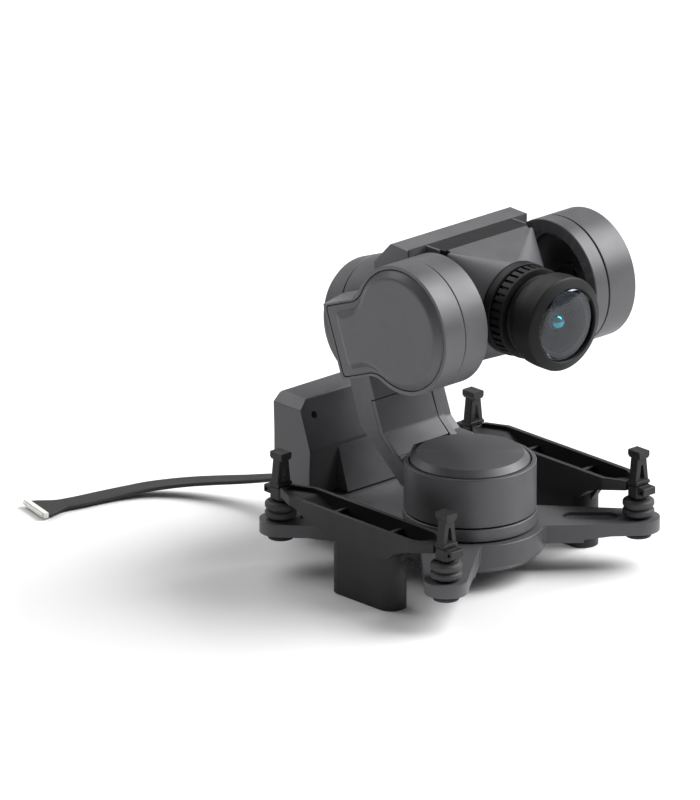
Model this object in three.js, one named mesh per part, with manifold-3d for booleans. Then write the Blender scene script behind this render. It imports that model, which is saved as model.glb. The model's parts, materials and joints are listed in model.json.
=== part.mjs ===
// Three-axis camera gimbal on a rubber-damped mount.
// Millimetres, +Z up. The lens looks along -Y and +X is on the right seen from the front.
import * as THREE from "three";
import { ConvexGeometry } from "three/addons/geometries/ConvexGeometry.js";
import { mergeVertices } from "three/addons/utils/BufferGeometryUtils.js";
import Module from "manifold-3d";

const wasm = await Module();
wasm.setup();

// ---------------------------------------------------------------- driving dimensions

const gap = 0.3; // clearance between neighbouring pieces

// Damped mount: two rails on legs, four rubber dampers and their safety pins
const damperSpacingX = 44;
const damperSpacingY = 40;
const damperCentreY = 2.5;
const damperHeight = 3.55;
const damperRadius = 2.7;
const damperBore = 1.2;
const pinRadius = 0.9;
const pinHeadHeight = 6.05;
const pinFlangeRadius = 2.2;
const collarWidth = 3;
const collarHeight = 2.2;
const railWidth = 6.5;
const railWall = 0.8;
const railFloor = 0.9;
const ribThickness = 0.8;
const footHoleRadius = 0.8;
const pinTowerHalf = 1.55;
const pinTipHalf = 1.04;
const pinHeadHalf = 1.15;
const pinHeadThickness = 1.25;
const legLength = 15.2;
const legWidth = 5.2;
const legCentreY = 0.8;

// Base plate
const plateTop = 8.3;
const lobeRadius = 3.6;
const lobeThickness = 2.2;
const armRootThickness = 3.2;
const armRootHalf = 4.9;
const pocketDepth = 0.4;
const frontArmAngle = THREE.MathUtils.degToRad(-31);
const hubBottom = 3.2;
const hubBevel = 1.2;

// Rear housing
const housingWidth = 25;
const housingFrontY = 25.6;
const housingDepth = 8.9;
const housingTop = 25;
const housingWall = 1.2;

// Motors: outer radius of each, and the parts that all three share
const yawRadius = 11.05;
const rollRadius = 11;
const pitchRadius = 11;
const canWall = 1.1;
const magnetThickness = 1;
const airGap = 0.4;
const shaftRadius = 1;
const bearingThickness = 0.8;
const bearingLength = 1.8;
const tubeWall = 1;

// Yaw motor heights
const yawFloorThickness = 1;
const yawSeam = 10.85;
const yawCanTop = 19.4;
const yawCapTop = 20.5;
const capSeatWall = 0.75; // of the can round the cap
const yawPlateThickness = 1.2;
const yawPlateTop = 18.3;

// Yaw arm
const armWidth = 17.2;
const armThickness = 5.2;
const armSlope = THREE.MathUtils.degToRad(40.3);
const armCoverThickness = 0.9;
const armSeamX = 3.9;
const armRootInset = 1.9; // the slope starts this far inside the can's outer radius
const armLowerThickness = 3.5;
const armFlankInset = 1.4; // the set-back right flank starts this far beside the cover's seam
const armFlankDepth = 2.2;

// Roll axis, through the pitch axis
const rollTilt = THREE.MathUtils.degToRad(21);
const pitchAxisY = -6.23;
const pitchAxisZ = 48.8;
const rollReach = 20.35; // from the yaw can's radius back to the roll can's rear face
const rollRearFace = yawRadius + rollReach;
const rollSeam = rollRearFace - 4.25;
const rollFrontFace = rollRearFace - 10.9;
const rollPlate = 1.5;
const rollCapThickness = 1.05;

// Roll arm and pitch motor
const rollArmOuterX = 21.8;
const rollArmThickness = 4.3;
const rollArmHalfHeight = 6.5;
const rollArmElbow = 17.5;
const armCoverRise = 1;
const pitchPlate = 1.3;
const pitchPlateX = 12.3;

// Camera bracket and balance can
const bracketHalfHeight = 10.3;
const bracketFront = 6.8;
const bracketRear = 15;
const bracketWall = 1.3;
const balanceBore = 8.3;
const balanceSeamX = 15.35;
const balanceOuterX = 21.8;

// Camera
const cameraWidth = 20;
const cameraTopDepth = 4.75;
const neckRadius = 7.9;
const neckFront = 4.5;
const lensStemRadius = 5.9;
const lensHeadRadius = 8;
const lensFront = 17;
const lensHeadLength = 5.5;
const lensBore = 4.8;
const glassRadius = 6.1;
const glassRise = 0.9;
const lockRingTeeth = 36;

// Screws
const screwRadius = 0.6;
const screwHeadRadius = 1.5;
const screwHeadHeight = 1.3;

// Ribbon cable: its section, and the middle of its lower run point by point
const cableWidth = 3.8;
const cableThickness = 0.9;
const cableX = -4;
const cableRoute = [
  [-4, 35.9, 7],
  [-4.1, 40, 6.3],
  [-4.3, 44.3, 5.1],
  [-5.7, 49.5, 3.8],
  [-7.6, 54, 2.9],
  [-10, 57.9, 2.2],
  [-12.4, 60.6, 1.7],
  [-15, 62.7, 1.3],
  [-17.5, 64, 1],
  [-20, 65, 0.8],
  [-23.9, 66, 0.7],
  [-27.2, 66.6, 0.7],
  [-30, 67.3, 0.7],
];

// Facets round a motor can, a lens ring and a small round part
const canFacets = 32;
const lensFacets = 32;
const smallFacets = 14;

// ---------------------------------------------------------------- derived places

const rearRowY = damperCentreY + damperSpacingY / 2;
const frontRowY = damperCentreY - damperSpacingY / 2;
const damperX = damperSpacingX / 2;
const collarBottom = plateTop + damperHeight;
const collarTop = collarBottom + collarHeight;
const railTop = collarTop + 0.35;
const lobeBottom = plateTop - lobeThickness;
const plateBottom = plateTop - armRootThickness;
const hubRadius = yawRadius + 1.45;
const housingBottom = plateTop + gap;
const housingRearY = housingFrontY + housingDepth;
const housingHalf = housingWidth / 2;
const screwHole = screwRadius + gap;
const screwHeadBore = screwHeadRadius + gap;
const tubeBore = shaftRadius + 2 * gap + bearingThickness;
const tubeRadius = tubeBore + tubeWall;
const cameraHalf = cameraWidth / 2;
const boardThickness = 1.2;

// ---------------------------------------------------------------- solids

// A closed three.js geometry as a solid that can be joined and cut.
function solid(geometry) {
  const bare = geometry.index ? geometry.toNonIndexed() : geometry.clone();
  bare.deleteAttribute("normal");
  bare.deleteAttribute("uv");
  const merged = mergeVertices(bare, 1e-4);
  const mesh = new wasm.Mesh({
    numProp: 3,
    vertProperties: merged.attributes.position.array,
    triVerts: new Uint32Array(merged.index.array),
  });
  return new wasm.Manifold(mesh);
}

function join(...bodies) {
  return bodies.reduce((all, body) => all.add(body));
}

function cut(body, ...tools) {
  return tools.reduce((left, tool) => left.subtract(tool), body);
}

function geometryOf(body) {
  const mesh = body.getMesh();
  const geometry = new THREE.BufferGeometry();
  geometry.setAttribute("position", new THREE.BufferAttribute(mesh.vertProperties, 3));
  geometry.setIndex(new THREE.BufferAttribute(mesh.triVerts, 1));
  geometry.computeVertexNormals();
  return geometry;
}

function shapeOf(outline) {
  return new THREE.Shape(outline.map(([u, v]) => new THREE.Vector2(u, v)));
}

// Points along a circular arc, both ends included.
function arc(centreU, centreV, radius, from, to, steps) {
  const points = [];
  for (let i = 0; i <= steps; i++) {
    const angle = from + ((to - from) * i) / steps;
    points.push([centreU + radius * Math.cos(angle), centreV + radius * Math.sin(angle)]);
  }
  return points;
}

// Frames that lay a drawing plane across each axis: its two drawing directions, then its depth.
const acrossAxis = {
  x: new THREE.Matrix4().makeBasis(
    new THREE.Vector3(0, 1, 0),
    new THREE.Vector3(0, 0, 1),
    new THREE.Vector3(1, 0, 0),
  ),
  y: new THREE.Matrix4().makeBasis(
    new THREE.Vector3(1, 0, 0),
    new THREE.Vector3(0, 0, 1),
    new THREE.Vector3(0, -1, 0),
  ),
  z: new THREE.Matrix4(),
};

// An outline swept straight along an axis from one station to another.
// The outline is drawn in YZ, XZ or XY for the axes x, y and z.
function prism(axis, outline, from, to) {
  const geometry = new THREE.ExtrudeGeometry(shapeOf(outline), {
    depth: to - from,
    bevelEnabled: false,
  });
  geometry.translate(0, 0, axis === "y" ? -to : from);
  return geometry.applyMatrix4(acrossAxis[axis]);
}

// A profile of [radius, height] points turned round an axis; "-y" counts its heights forwards.
function turned(axis, profile, facets = canFacets) {
  const points = profile.map(([r, h]) => new THREE.Vector2(r, h));
  const geometry = new THREE.LatheGeometry(points, facets);
  if (axis === "z") geometry.rotateX(Math.PI / 2);
  if (axis === "x") geometry.rotateZ(-Math.PI / 2);
  if (axis === "-y") geometry.rotateX(Math.PI);
  return geometry;
}

// The profile of a plain ring, and of a plain round bar.
function ringProfile(inner, outer, from, to) {
  return [
    [inner, from],
    [outer, from],
    [outer, to],
    [inner, to],
    [inner, from],
  ];
}

function barProfile(radius, from, to) {
  return [
    [0, from],
    [radius, from],
    [radius, to],
    [0, to],
  ];
}

function ring(axis, inner, outer, from, to, facets) {
  return turned(axis, ringProfile(inner, outer, from, to), facets);
}

function bar(axis, radius, from, to, facets) {
  return turned(axis, barProfile(radius, from, to), facets);
}

function block(x0, x1, y0, y1, z0, z1) {
  const geometry = new THREE.BoxGeometry(x1 - x0, y1 - y0, z1 - z0);
  return geometry.translate((x0 + x1) / 2, (y0 + y1) / 2, (z0 + z1) / 2);
}

// ---------------------------------------------------------------- materials

const finishes = {
  shell: new THREE.MeshStandardMaterial({ color: 0x555558, roughness: 0.55, metalness: 0.1 }),
  mount: new THREE.MeshStandardMaterial({ color: 0x2c2c2f, roughness: 0.6, metalness: 0 }),
  rubber: new THREE.MeshStandardMaterial({ color: 0x1a1a1b, roughness: 0.9, metalness: 0 }),
  black: new THREE.MeshStandardMaterial({ color: 0x17181a, roughness: 0.45, metalness: 0 }),
  glass: new THREE.MeshStandardMaterial({ color: 0x10141c, roughness: 0.05, metalness: 0 }),
  steel: new THREE.MeshStandardMaterial({ color: 0x9b9ca0, roughness: 0.3, metalness: 1 }),
  copper: new THREE.MeshStandardMaterial({ color: 0x9a5a32, roughness: 0.4, metalness: 0.8 }),
  board: new THREE.MeshStandardMaterial({ color: 0x1d4a33, roughness: 0.5, metalness: 0 }),
  braid: new THREE.MeshStandardMaterial({ color: 0x1b1b1d, roughness: 0.85, metalness: 0 }),
  contact: new THREE.MeshStandardMaterial({ color: 0xe6e4de, roughness: 0.5, metalness: 0 }),
};

function piece(name, body, finish) {
  const geometry = body.isBufferGeometry ? body : geometryOf(body);
  const mesh = new THREE.Mesh(geometry, finishes[finish]);
  mesh.name = name;
  return mesh;
}

function screw(name, length) {
  const body = turned(
    "z",
    [
      [0, 0],
      [screwHeadRadius, 0],
      [screwHeadRadius, screwHeadHeight],
      [screwRadius, screwHeadHeight],
      [screwRadius, length],
      [0, length],
    ],
    smallFacets,
  );
  const socket = bar("z", screwRadius, -gap, screwHeadHeight / 2, 6);
  return piece(name, cut(solid(body), solid(socket)), "steel");
}

// ---------------------------------------------------------------- mount

// The underside of a rail's walls in YZ, raised by lift, and closed well above the rail.
function railBelly(lift, top) {
  const front = frontRowY + collarWidth / 2 - lift;
  const rear = rearRowY - collarWidth / 2 + lift;
  const legFront = legCentreY - legLength / 2;
  const legRear = legCentreY + legLength / 2;
  const endDepth = railTop - 1.6;
  return [
    [front, top],
    [front, endDepth + lift],
    [legFront - 4.9, endDepth - 0.6 + lift],
    [legFront - 2.8, endDepth - 1.5 + lift],
    [legFront - 1, endDepth - 2.6 + lift],
    [legFront + 0.3, plateTop + 1.2 + lift],
    [legRear - 2.2, plateTop + 1.2 + lift],
    [legRear - 0.8, endDepth - 2.7 + lift],
    [legRear + 2, endDepth - 2 + lift],
    [legRear + 4.4, endDepth - 1.4 + lift],
    [legRear + 7.6, endDepth + lift],
    [rear, endDepth + lift],
    [rear, top],
  ];
}

// A rail's plan in XY, narrowed by inset: parallel sides that draw in to the collars.
function railPlan(inset) {
  const drawIn = 4;
  const half = railWidth / 2 - inset;
  const tip = Math.max(collarWidth / 2 - inset, 0.25);
  const front = frontRowY + collarWidth / 2;
  const rear = rearRowY - collarWidth / 2;
  return [
    [damperX - tip, front],
    [damperX + tip, front],
    [damperX + half, front + drawIn],
    [damperX + half, rear - drawIn],
    [damperX + tip, rear],
    [damperX - tip, rear],
    [damperX - half, rear - drawIn],
    [damperX - half, front + drawIn],
  ];
}

function stadium(length, width, centreX, centreY) {
  const r = width / 2;
  const straight = (length - width) / 2;
  return [
    ...arc(centreX, centreY + straight, r, 0, Math.PI, 8),
    ...arc(centreX, centreY - straight, r, Math.PI, 2 * Math.PI, 8),
  ];
}

function collar(y, outward) {
  const half = collarWidth / 2;
  const chamfer = 0.5;
  const plan = [
    [damperX - half, y - half + chamfer],
    [damperX - half + chamfer, y - half],
    [damperX + half - chamfer, y - half],
    [damperX + half, y - half + chamfer],
    [damperX + half, y + half - chamfer],
    [damperX + half - chamfer, y + half],
    [damperX - half + chamfer, y + half],
    [damperX - half, y + half - chamfer],
  ];
  const lugHalf = 1.4;
  const lugReach = 1.2;
  const near = y + outward * (half - 0.3);
  const far = y + outward * (half + lugReach);
  const lug = block(
    damperX - lugHalf,
    damperX + lugHalf,
    Math.min(near, far),
    Math.max(near, far),
    collarBottom + 0.8,
    collarTop - 0.05,
  );
  const eye = bar("x", 0.35, damperX - lugHalf - gap, damperX + lugHalf + gap, 12);
  eye.translate(0, y + outward * (half + lugReach / 2), collarTop - 0.75);
  return cut(join(solid(prism("z", plan, collarBottom, collarTop)), solid(lug)), solid(eye));
}

function rail(name) {
  const top = railTop + 1;
  const shell = solid(prism("z", railPlan(0), 0, railTop)).intersect(
    solid(prism("x", railBelly(0, top), damperX - railWidth, damperX + railWidth)),
  );
  const trough = solid(prism("z", railPlan(railWall), 0, top)).intersect(
    solid(prism("x", railBelly(railFloor, top), damperX - railWidth, damperX + railWidth)),
  );
  const legShape = stadium(legLength, legWidth, damperX, legCentreY);
  const leg = solid(prism("z", legShape, 0, plateTop + 1.2 + railFloor / 2));
  const legFront = legCentreY - legLength / 2;
  const gusset = prism(
    "x",
    [
      [legFront + 1, plateTop + 1.4],
      [legFront - 1.2, plateTop + 2],
      [legFront + 1, plateTop - 1],
    ],
    damperX - 0.6,
    damperX + 0.6,
  );
  let body = join(cut(shell, trough), leg, solid(gusset));
  for (const share of [1 / 3, 2 / 3]) {
    const y = frontRowY + share * damperSpacingY;
    const half = railWidth / 2 - railWall / 2;
    const thin = ribThickness / 2;
    const rib = block(damperX - half, damperX + half, y - thin, y + thin, railTop - 3, railTop - 1.5);
    body = join(body, solid(rib));
  }
  body = join(body, collar(frontRowY, -1), collar(rearRowY, 1));
  for (const y of [frontRowY, rearRowY]) {
    const hole = bar("z", pinRadius + gap, collarBottom - 1, railTop + 1, smallFacets);
    body = cut(body, solid(hole.translate(damperX, y, 0)));
  }
  for (const side of [-1, 1]) {
    const hole = bar("z", footHoleRadius, -1, 6, smallFacets);
    body = cut(body, solid(hole.translate(damperX, legCentreY + side * (legLength / 3), 0)));
  }
  return piece(name, body, "mount");
}

// A hollow rubber damper of two stacked bulges, standing on z = 0.
function damper(name) {
  const height = damperHeight - 2 * gap;
  const waist = damperRadius * 0.7;
  const end = damperRadius * 0.75;
  const outer = [
    [end, 0],
    [damperRadius, 0.16 * height],
    [damperRadius, 0.32 * height],
    [waist, 0.5 * height],
    [damperRadius, 0.68 * height],
    [damperRadius, 0.84 * height],
    [end, height],
  ];
  const profile = [[damperBore, 0], ...outer, [damperBore, height], [damperBore, 0]];
  return piece(name, turned("z", profile, 16), "rubber");
}

// A safety pin: a flange under the plate, a shaft through the damper, and a windowed tower.
// Its zero height is the top of the collar.
function safetyPin(name) {
  const seat = gap;
  const towerTop = pinHeadHeight - pinHeadThickness;
  const flangeTop = lobeBottom - 2 * gap - collarTop;
  const tower = prism(
    "y",
    [
      [-pinTowerHalf, seat],
      [pinTowerHalf, seat],
      [pinTipHalf, towerTop],
      [-pinTipHalf, towerTop],
    ],
    -0.8,
    0.8,
  );
  const head = prism(
    "y",
    [
      [-pinTipHalf, towerTop - 0.05],
      [pinTipHalf, towerTop - 0.05],
      [pinHeadHalf, towerTop + 0.35],
      [pinHeadHalf, pinHeadHeight],
      [-pinHeadHalf, pinHeadHeight],
      [-pinHeadHalf, towerTop + 0.35],
    ],
    -1.4,
    1.4,
  );
  const windowCut = prism(
    "y",
    [
      [-0.55, seat + 0.5],
      [0.55, seat + 0.5],
      [0.2, towerTop - 1.4],
      [-0.2, towerTop - 1.4],
    ],
    -2,
    2,
  );
  const shaft = bar("z", pinRadius, flangeTop - 0.3, seat + 0.2, 16);
  const flange = bar("z", pinFlangeRadius, flangeTop - 0.6, flangeTop, smallFacets);
  const body = join(cut(join(solid(tower), solid(head)), solid(windowCut)), solid(shaft), solid(flange));
  return piece(name, body, "mount");
}

function mountGroup() {
  const group = new THREE.Group();
  const right = rail("right_rail");
  const left = rail("left_rail");
  left.scale.x = -1;
  group.add(left, right);
  for (const [end, y] of [
    ["front", frontRowY],
    ["rear", rearRowY],
  ]) {
    for (const [side, x] of [
      ["left", -damperX],
      ["right", damperX],
    ]) {
      const rubber = damper(`damper_${end}_${side}`);
      rubber.position.set(x, y, plateTop + gap);
      const pin = safetyPin(`safety_pin_${end}_${side}`);
      pin.position.set(x, y, collarTop);
      group.add(rubber, pin);
    }
  }
  return group;
}

// ---------------------------------------------------------------- base plate and rear housing

const hubScrewCircle = yawRadius * 0.64;
const hubScrewAngles = [30, 150, 270].map(THREE.MathUtils.degToRad);
const hubScrewSeat = hubBottom + screwHeadHeight + 0.3;
const housingScrewX = housingHalf - 3;
const housingScrewY = housingRearY - 3;
const reliefWidth = 6;
const reliefFrontY = housingRearY - 3.2;

// One tapered arm of the plate, from its root to the lobe under a damper.
function plateArm(rootX, rootY, lobeX, lobeY) {
  const reach = Math.hypot(lobeX - rootX, lobeY - rootY);
  const plan = [
    [0, -armRootHalf],
    [reach, -lobeRadius],
    [reach, lobeRadius],
    [0, armRootHalf],
    [-2.5, armRootHalf],
    [-2.5, -armRootHalf],
  ];
  const side = [
    [-3, plateBottom],
    [0.15 * reach, plateBottom],
    [0.72 * reach, lobeBottom],
    [reach + 1, lobeBottom],
    [reach + 1, plateTop],
    [-3, plateTop],
  ];
  const flat = prism("z", plan, plateBottom, plateTop);
  const slope = prism("y", side, -2 * lobeRadius, 2 * lobeRadius);
  const pocketShape = stadium(9, 3.3, 0, 0);
  const pocket = prism("z", pocketShape, plateTop - pocketDepth, plateTop + 1).rotateZ(Math.PI / 2);
  pocket.translate(0.5 * reach, 0, 0);
  const arm = cut(solid(flat).intersect(solid(slope)), solid(pocket));
  const turn = new THREE.Matrix4().makeRotationZ(Math.atan2(lobeY - rootY, lobeX - rootX));
  turn.setPosition(rootX, rootY, 0);
  return solid(geometryOf(arm).applyMatrix4(turn));
}

function basePlate() {
  const hub = turned("z", [
    [0, hubBottom],
    [hubRadius - hubBevel, hubBottom],
    [hubRadius, hubBottom + hubBevel],
    [hubRadius, plateTop],
    [0, plateTop],
  ]);
  const tongue = block(-housingHalf, housingHalf, 0, housingRearY, plateBottom, plateTop);
  let body = join(solid(hub), solid(tongue));
  const frontRoot = 0.98 * hubRadius;
  for (const side of [-1, 1]) {
    const frontX = side * frontRoot * Math.cos(frontArmAngle);
    const frontY = frontRoot * Math.sin(frontArmAngle);
    body = join(body, plateArm(frontX, frontY, side * damperX, frontRowY));
    const rearX = side * (housingHalf - 2);
    body = join(body, plateArm(rearX, rearRowY - 10, side * damperX, rearRowY));
    for (const y of [frontRowY, rearRowY]) {
      const lobe = bar("z", lobeRadius, lobeBottom, plateTop, 24).translate(side * damperX, y, 0);
      body = join(body, solid(lobe));
    }
  }
  for (const x of [-damperX, damperX]) {
    for (const y of [frontRowY, rearRowY]) {
      const hole = bar("z", pinRadius + 2 * gap, plateBottom - 1, plateTop + 1, smallFacets);
      body = cut(body, solid(hole.translate(x, y, 0)));
    }
  }
  for (const angle of hubScrewAngles) {
    const x = hubScrewCircle * Math.cos(angle);
    const y = hubScrewCircle * Math.sin(angle);
    const hole = bar("z", screwHole, hubBottom - 1, plateTop + 1, 12).translate(x, y, 0);
    const seat = bar("z", screwHeadBore, hubBottom - 1, hubScrewSeat + gap, 16).translate(x, y, 0);
    body = cut(body, solid(hole), solid(seat));
  }
  for (const x of [-housingScrewX, housingScrewX]) {
    const hole = bar("z", screwHole, plateBottom - 1, plateTop + 1, 12);
    const seat = bar("z", screwHeadBore, plateBottom - 1, plateBottom + screwHeadHeight + gap, 16);
    body = cut(body, solid(hole.translate(x, housingScrewY, 0)));
    body = cut(body, solid(seat.translate(x, housingScrewY, 0)));
  }
  const wireBore = bar("z", tubeBore, hubBottom - 1, plateTop + 1, smallFacets);
  const half = reliefWidth / 2 + gap;
  const notch = block(
    cableX - half,
    cableX + half,
    reliefFrontY - gap,
    housingRearY + 1,
    plateBottom - 1,
    plateTop + 1,
  );
  return piece("base_plate", cut(body, solid(wireBore), solid(notch)), "shell");
}

// The housing's side outline in YZ, drawn in by inset on every wall.
function housingSide(inset) {
  const front = housingFrontY + inset;
  const rear = housingRearY - inset;
  const top = housingTop - inset;
  const lean = 2.9;
  const knee = housingBottom + 0.5 * (housingTop - housingBottom);
  return [
    [front, housingBottom - (inset ? 1 : 0)],
    [rear, housingBottom - (inset ? 1 : 0)],
    [rear, top],
    [front + lean, top],
    [front, knee],
  ];
}

// The housing's front outline in XZ, with its top corners cut off.
function housingFront(inset) {
  const half = housingHalf - inset;
  const top = housingTop - inset;
  return [
    [-half, housingBottom - 2],
    [half, housingBottom - 2],
    [half, top - 1.6],
    [half - 1.8, top],
    [-half + 1.8, top],
    [-half, top - 1.6],
  ];
}

function housingBlock(inset) {
  const sides = prism("x", housingSide(inset), -housingHalf + inset, housingHalf - inset);
  const faces = prism("y", housingFront(inset), housingFrontY - 1, housingRearY + 1);
  return solid(sides).intersect(solid(faces));
}

function rearHousing() {
  const buttress = prism(
    "x",
    [
      [housingFrontY + 0.3, housingBottom],
      [housingFrontY + 0.3, housingBottom + 7.6],
      [housingFrontY - 2.4, housingBottom],
    ],
    -6,
    6,
  );
  let body = join(cut(housingBlock(0), housingBlock(housingWall)), solid(buttress));
  for (const x of [-housingScrewX, housingScrewX]) {
    const boss = bar("z", 2.1, housingBottom, housingBottom + 6, smallFacets);
    body = join(body, solid(boss.translate(x, housingScrewY, 0)));
    const hole = bar("z", screwHole, housingBottom - 1, housingBottom + 5, 12);
    body = cut(body, solid(hole.translate(x, housingScrewY, 0)));
  }
  const ventY = housingFrontY + 1.9;
  const vent = bar("y", 0.6, ventY - 3, ventY + 2, 16).translate(-housingHalf + 2.8, 0, housingTop - 2.8);
  return piece("rear_housing", cut(body, solid(vent)), "shell");
}

function strainRelief() {
  const half = reliefWidth / 2;
  const flare = prism(
    "z",
    [
      [cableX - half, reliefFrontY],
      [cableX + half, reliefFrontY],
      [cableX + half, housingRearY],
      [cableX + cableWidth / 2 + 0.3, housingRearY + 1.1],
      [cableX - cableWidth / 2 - 0.3, housingRearY + 1.1],
      [cableX - half, housingRearY],
    ],
    plateBottom + 0.3,
    plateTop,
  );
  return piece("strain_relief", flare, "rubber");
}

function controlBoard() {
  const half = housingScrewX - 2.1 - gap;
  const frontY = housingFrontY + housingWall + 2.6;
  const board = block(-half, half, frontY, frontY + boardThickness, housingBottom + 0.6, housingTop - 3);
  const chip = block(-3, 3, frontY - 0.9, frontY + 0.2, housingBottom + 2, housingBottom + 7.5);
  return piece("control_board", join(solid(board), solid(chip)), "board");
}

// ---------------------------------------------------------------- motor innards

// Pieces of an outrunner motor. Heights run from the stator's floor to the rotor's plate.
// Each piece is a function of the motor's radius, its inner length and its rotor's edge.
function statorCore(name, radius, length) {
  const outer = radius - canWall - gap - magnetThickness - airGap;
  const from = 1;
  const to = length - 1.2;
  let body = solid(ring("z", tubeRadius + gap, outer, from, to, 27));
  const teeth = 9;
  for (let i = 0; i < teeth; i++) {
    const slot = block(tubeRadius + gap + 1.2, outer + 1, -0.55, 0.55, from - 1, to + 1);
    body = cut(body, solid(slot.rotateZ((2 * Math.PI * i) / teeth)));
  }
  return piece(name, body, "copper");
}

function magnetRing(name, radius, length, rotorEdge) {
  const outer = radius - canWall - gap;
  const body = ring("z", outer - magnetThickness, outer, rotorEdge + gap, length - gap, 32);
  return piece(name, body, "steel");
}

function bearing(name, from) {
  const inner = shaftRadius + gap;
  return piece(name, ring("z", inner, inner + bearingThickness, from, from + bearingLength, 16), "steel");
}

function motorShaft(name, length) {
  return piece(name, bar("z", shaftRadius, 0.4, length - gap, smallFacets), "steel");
}

// The tube that carries the core and the bearings, standing on the stator's floor.
function statorTube(axis, from, to) {
  return ring(axis, tubeBore, tubeRadius, Math.min(from, to), Math.max(from, to), 20);
}

// ---------------------------------------------------------------- yaw motor and arm

const yawFloor = plateTop + gap + yawFloorThickness;
const yawPlateUnderside = yawPlateTop - yawPlateThickness;
const yawLength = yawPlateUnderside - yawFloor;
const tubeShort = 0.6; // the tube ends this far below the rotor's plate

function yawStatorHousing() {
  const foot = plateTop + gap;
  const rim = yawSeam - gap / 2;
  const cup = turned("z", [
    [tubeBore, foot],
    [yawRadius + 0.15, foot],
    [yawRadius + 0.15, rim],
    [yawRadius - canWall, rim],
    [yawRadius - canWall, yawFloor],
    [tubeBore, yawFloor],
    [tubeBore, foot],
  ]);
  let body = join(solid(cup), solid(statorTube("z", foot, yawPlateUnderside - tubeShort)));
  for (const angle of hubScrewAngles) {
    const hole = bar("z", screwHole, foot - 1, yawFloor + 1, 12);
    hole.translate(hubScrewCircle * Math.cos(angle), hubScrewCircle * Math.sin(angle), 0);
    body = cut(body, solid(hole));
  }
  return piece("yaw_stator_housing", body, "shell");
}

// The roll frame: +Y runs back along the roll axis and +Z stands square to it.
const rollFrame = new THREE.Matrix4().makeRotationX(-rollTilt);
rollFrame.setPosition(0, pitchAxisY, pitchAxisZ);

// A point of the roll frame's YZ plane in the yaw frame.
function fromRoll(along, up) {
  const point = new THREE.Vector3(0, along, up).applyMatrix4(rollFrame);
  return [point.y, point.z];
}

// Where the sloping lower face through (y, z) meets the plane square to the roll axis at `along`.
function foldPoint(y, z, along) {
  const [baseY, baseZ] = fromRoll(along, 0);
  const rise = Math.tan(armSlope);
  const up = (baseZ - z - rise * (baseY - y)) / (rise * Math.sin(rollTilt) - Math.cos(rollTilt));
  return fromRoll(along, up);
}

const armRootY = yawRadius - armRootInset;
const armFront = rollRearFace - armThickness;

// The yaw arm's side outline in YZ: a slope up from the can, then a slab square to the roll axis.
// `skin` moves its front faces back, and `top` is how high it goes in the roll frame.
function yawArmSide(skin, top) {
  const rise = Math.tan(armSlope);
  const rootZ = yawCapTop - 0.1 - skin / Math.cos(armSlope);
  const rearZ = rootZ - (armLowerThickness - skin) / Math.cos(armSlope);
  const buriedZ = yawPlateTop - 0.3;
  const frontFold = foldPoint(armRootY, rootZ, armFront + skin);
  const rearFold = foldPoint(armRootY, rearZ, rollRearFace);
  const rootBottom = yawPlateUnderside - 2.5;
  return [
    [armRootY - (rootZ - buriedZ) / rise, buriedZ],
    frontFold,
    fromRoll(armFront + skin, top),
    fromRoll(rollRearFace, top),
    rearFold,
    [armRootY + (rootBottom - rearZ) / rise, rootBottom],
    [armRootY - armLowerThickness, rootBottom],
  ];
}

function inRollFrame(geometry) {
  return geometry.applyMatrix4(rollFrame);
}

function yawArm() {
  const half = armWidth / 2;
  const bore = yawRadius - canWall;
  const rim = yawSeam + gap / 2;
  const can = turned("z", [
    [0, yawPlateUnderside],
    [bore, yawPlateUnderside],
    [bore, rim],
    [yawRadius, rim],
    [yawRadius, yawCanTop],
    [yawRadius - capSeatWall, yawCanTop],
    [yawRadius - capSeatWall, yawPlateTop],
    [0, yawPlateTop],
  ]);
  const coverLevel = -rollRadius - 1.2;
  let arm = solid(prism("x", yawArmSide(0, -rollRadius * 0.4), -half, half));
  const coverSeat = cut(
    solid(prism("x", yawArmSide(-1, coverLevel + gap), -half - 1, armSeamX + gap / 2)),
    solid(prism("x", yawArmSide(armCoverThickness + gap, coverLevel + 2), -half - 2, half + 2)),
  );
  const belowSeat = block(-half - 2, half + 2, -2 * yawRadius, 3 * yawRadius, 0, yawCapTop + gap);
  arm = cut(arm, cut(coverSeat, solid(belowSeat)));
  const flank = cut(
    solid(prism("x", yawArmSide(-1, -rollRadius * 0.3), armSeamX + armFlankInset, half + 1)),
    solid(prism("x", yawArmSide(armFlankDepth, 0), armSeamX, half + 2)),
  );
  arm = cut(arm, cut(flank, solid(belowSeat)));
  const rotorSpace = bar("y", rollRadius + gap, 0, rollSeam + gap / 2);
  const motorSpace = bar("y", rollRadius - canWall, 0, rollRearFace - rollPlate);
  const yawSpace = bar("z", bore, 0, yawPlateUnderside);
  arm = cut(arm, solid(inRollFrame(rotorSpace)), solid(inRollFrame(motorSpace)), solid(yawSpace));
  const statorCup = turned("y", [
    [0, rollRearFace - rollPlate],
    [rollRadius - canWall, rollRearFace - rollPlate],
    [rollRadius - canWall, rollSeam + gap / 2],
    [rollRadius, rollSeam + gap / 2],
    [rollRadius, rollRearFace],
    [0, rollRearFace],
  ]);
  const tubeEnd = rollFrontFace + rollPlate + tubeShort;
  const tube = statorTube("y", tubeEnd, rollRearFace - rollPlate / 2);
  const body = join(arm, solid(can), solid(inRollFrame(statorCup)), solid(inRollFrame(tube)));
  const wireWay = bar("y", tubeBore, tubeEnd - 1, rollRearFace - rollPlate, 24);
  return piece("yaw_arm", cut(body, solid(inRollFrame(wireWay))), "shell");
}

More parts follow.
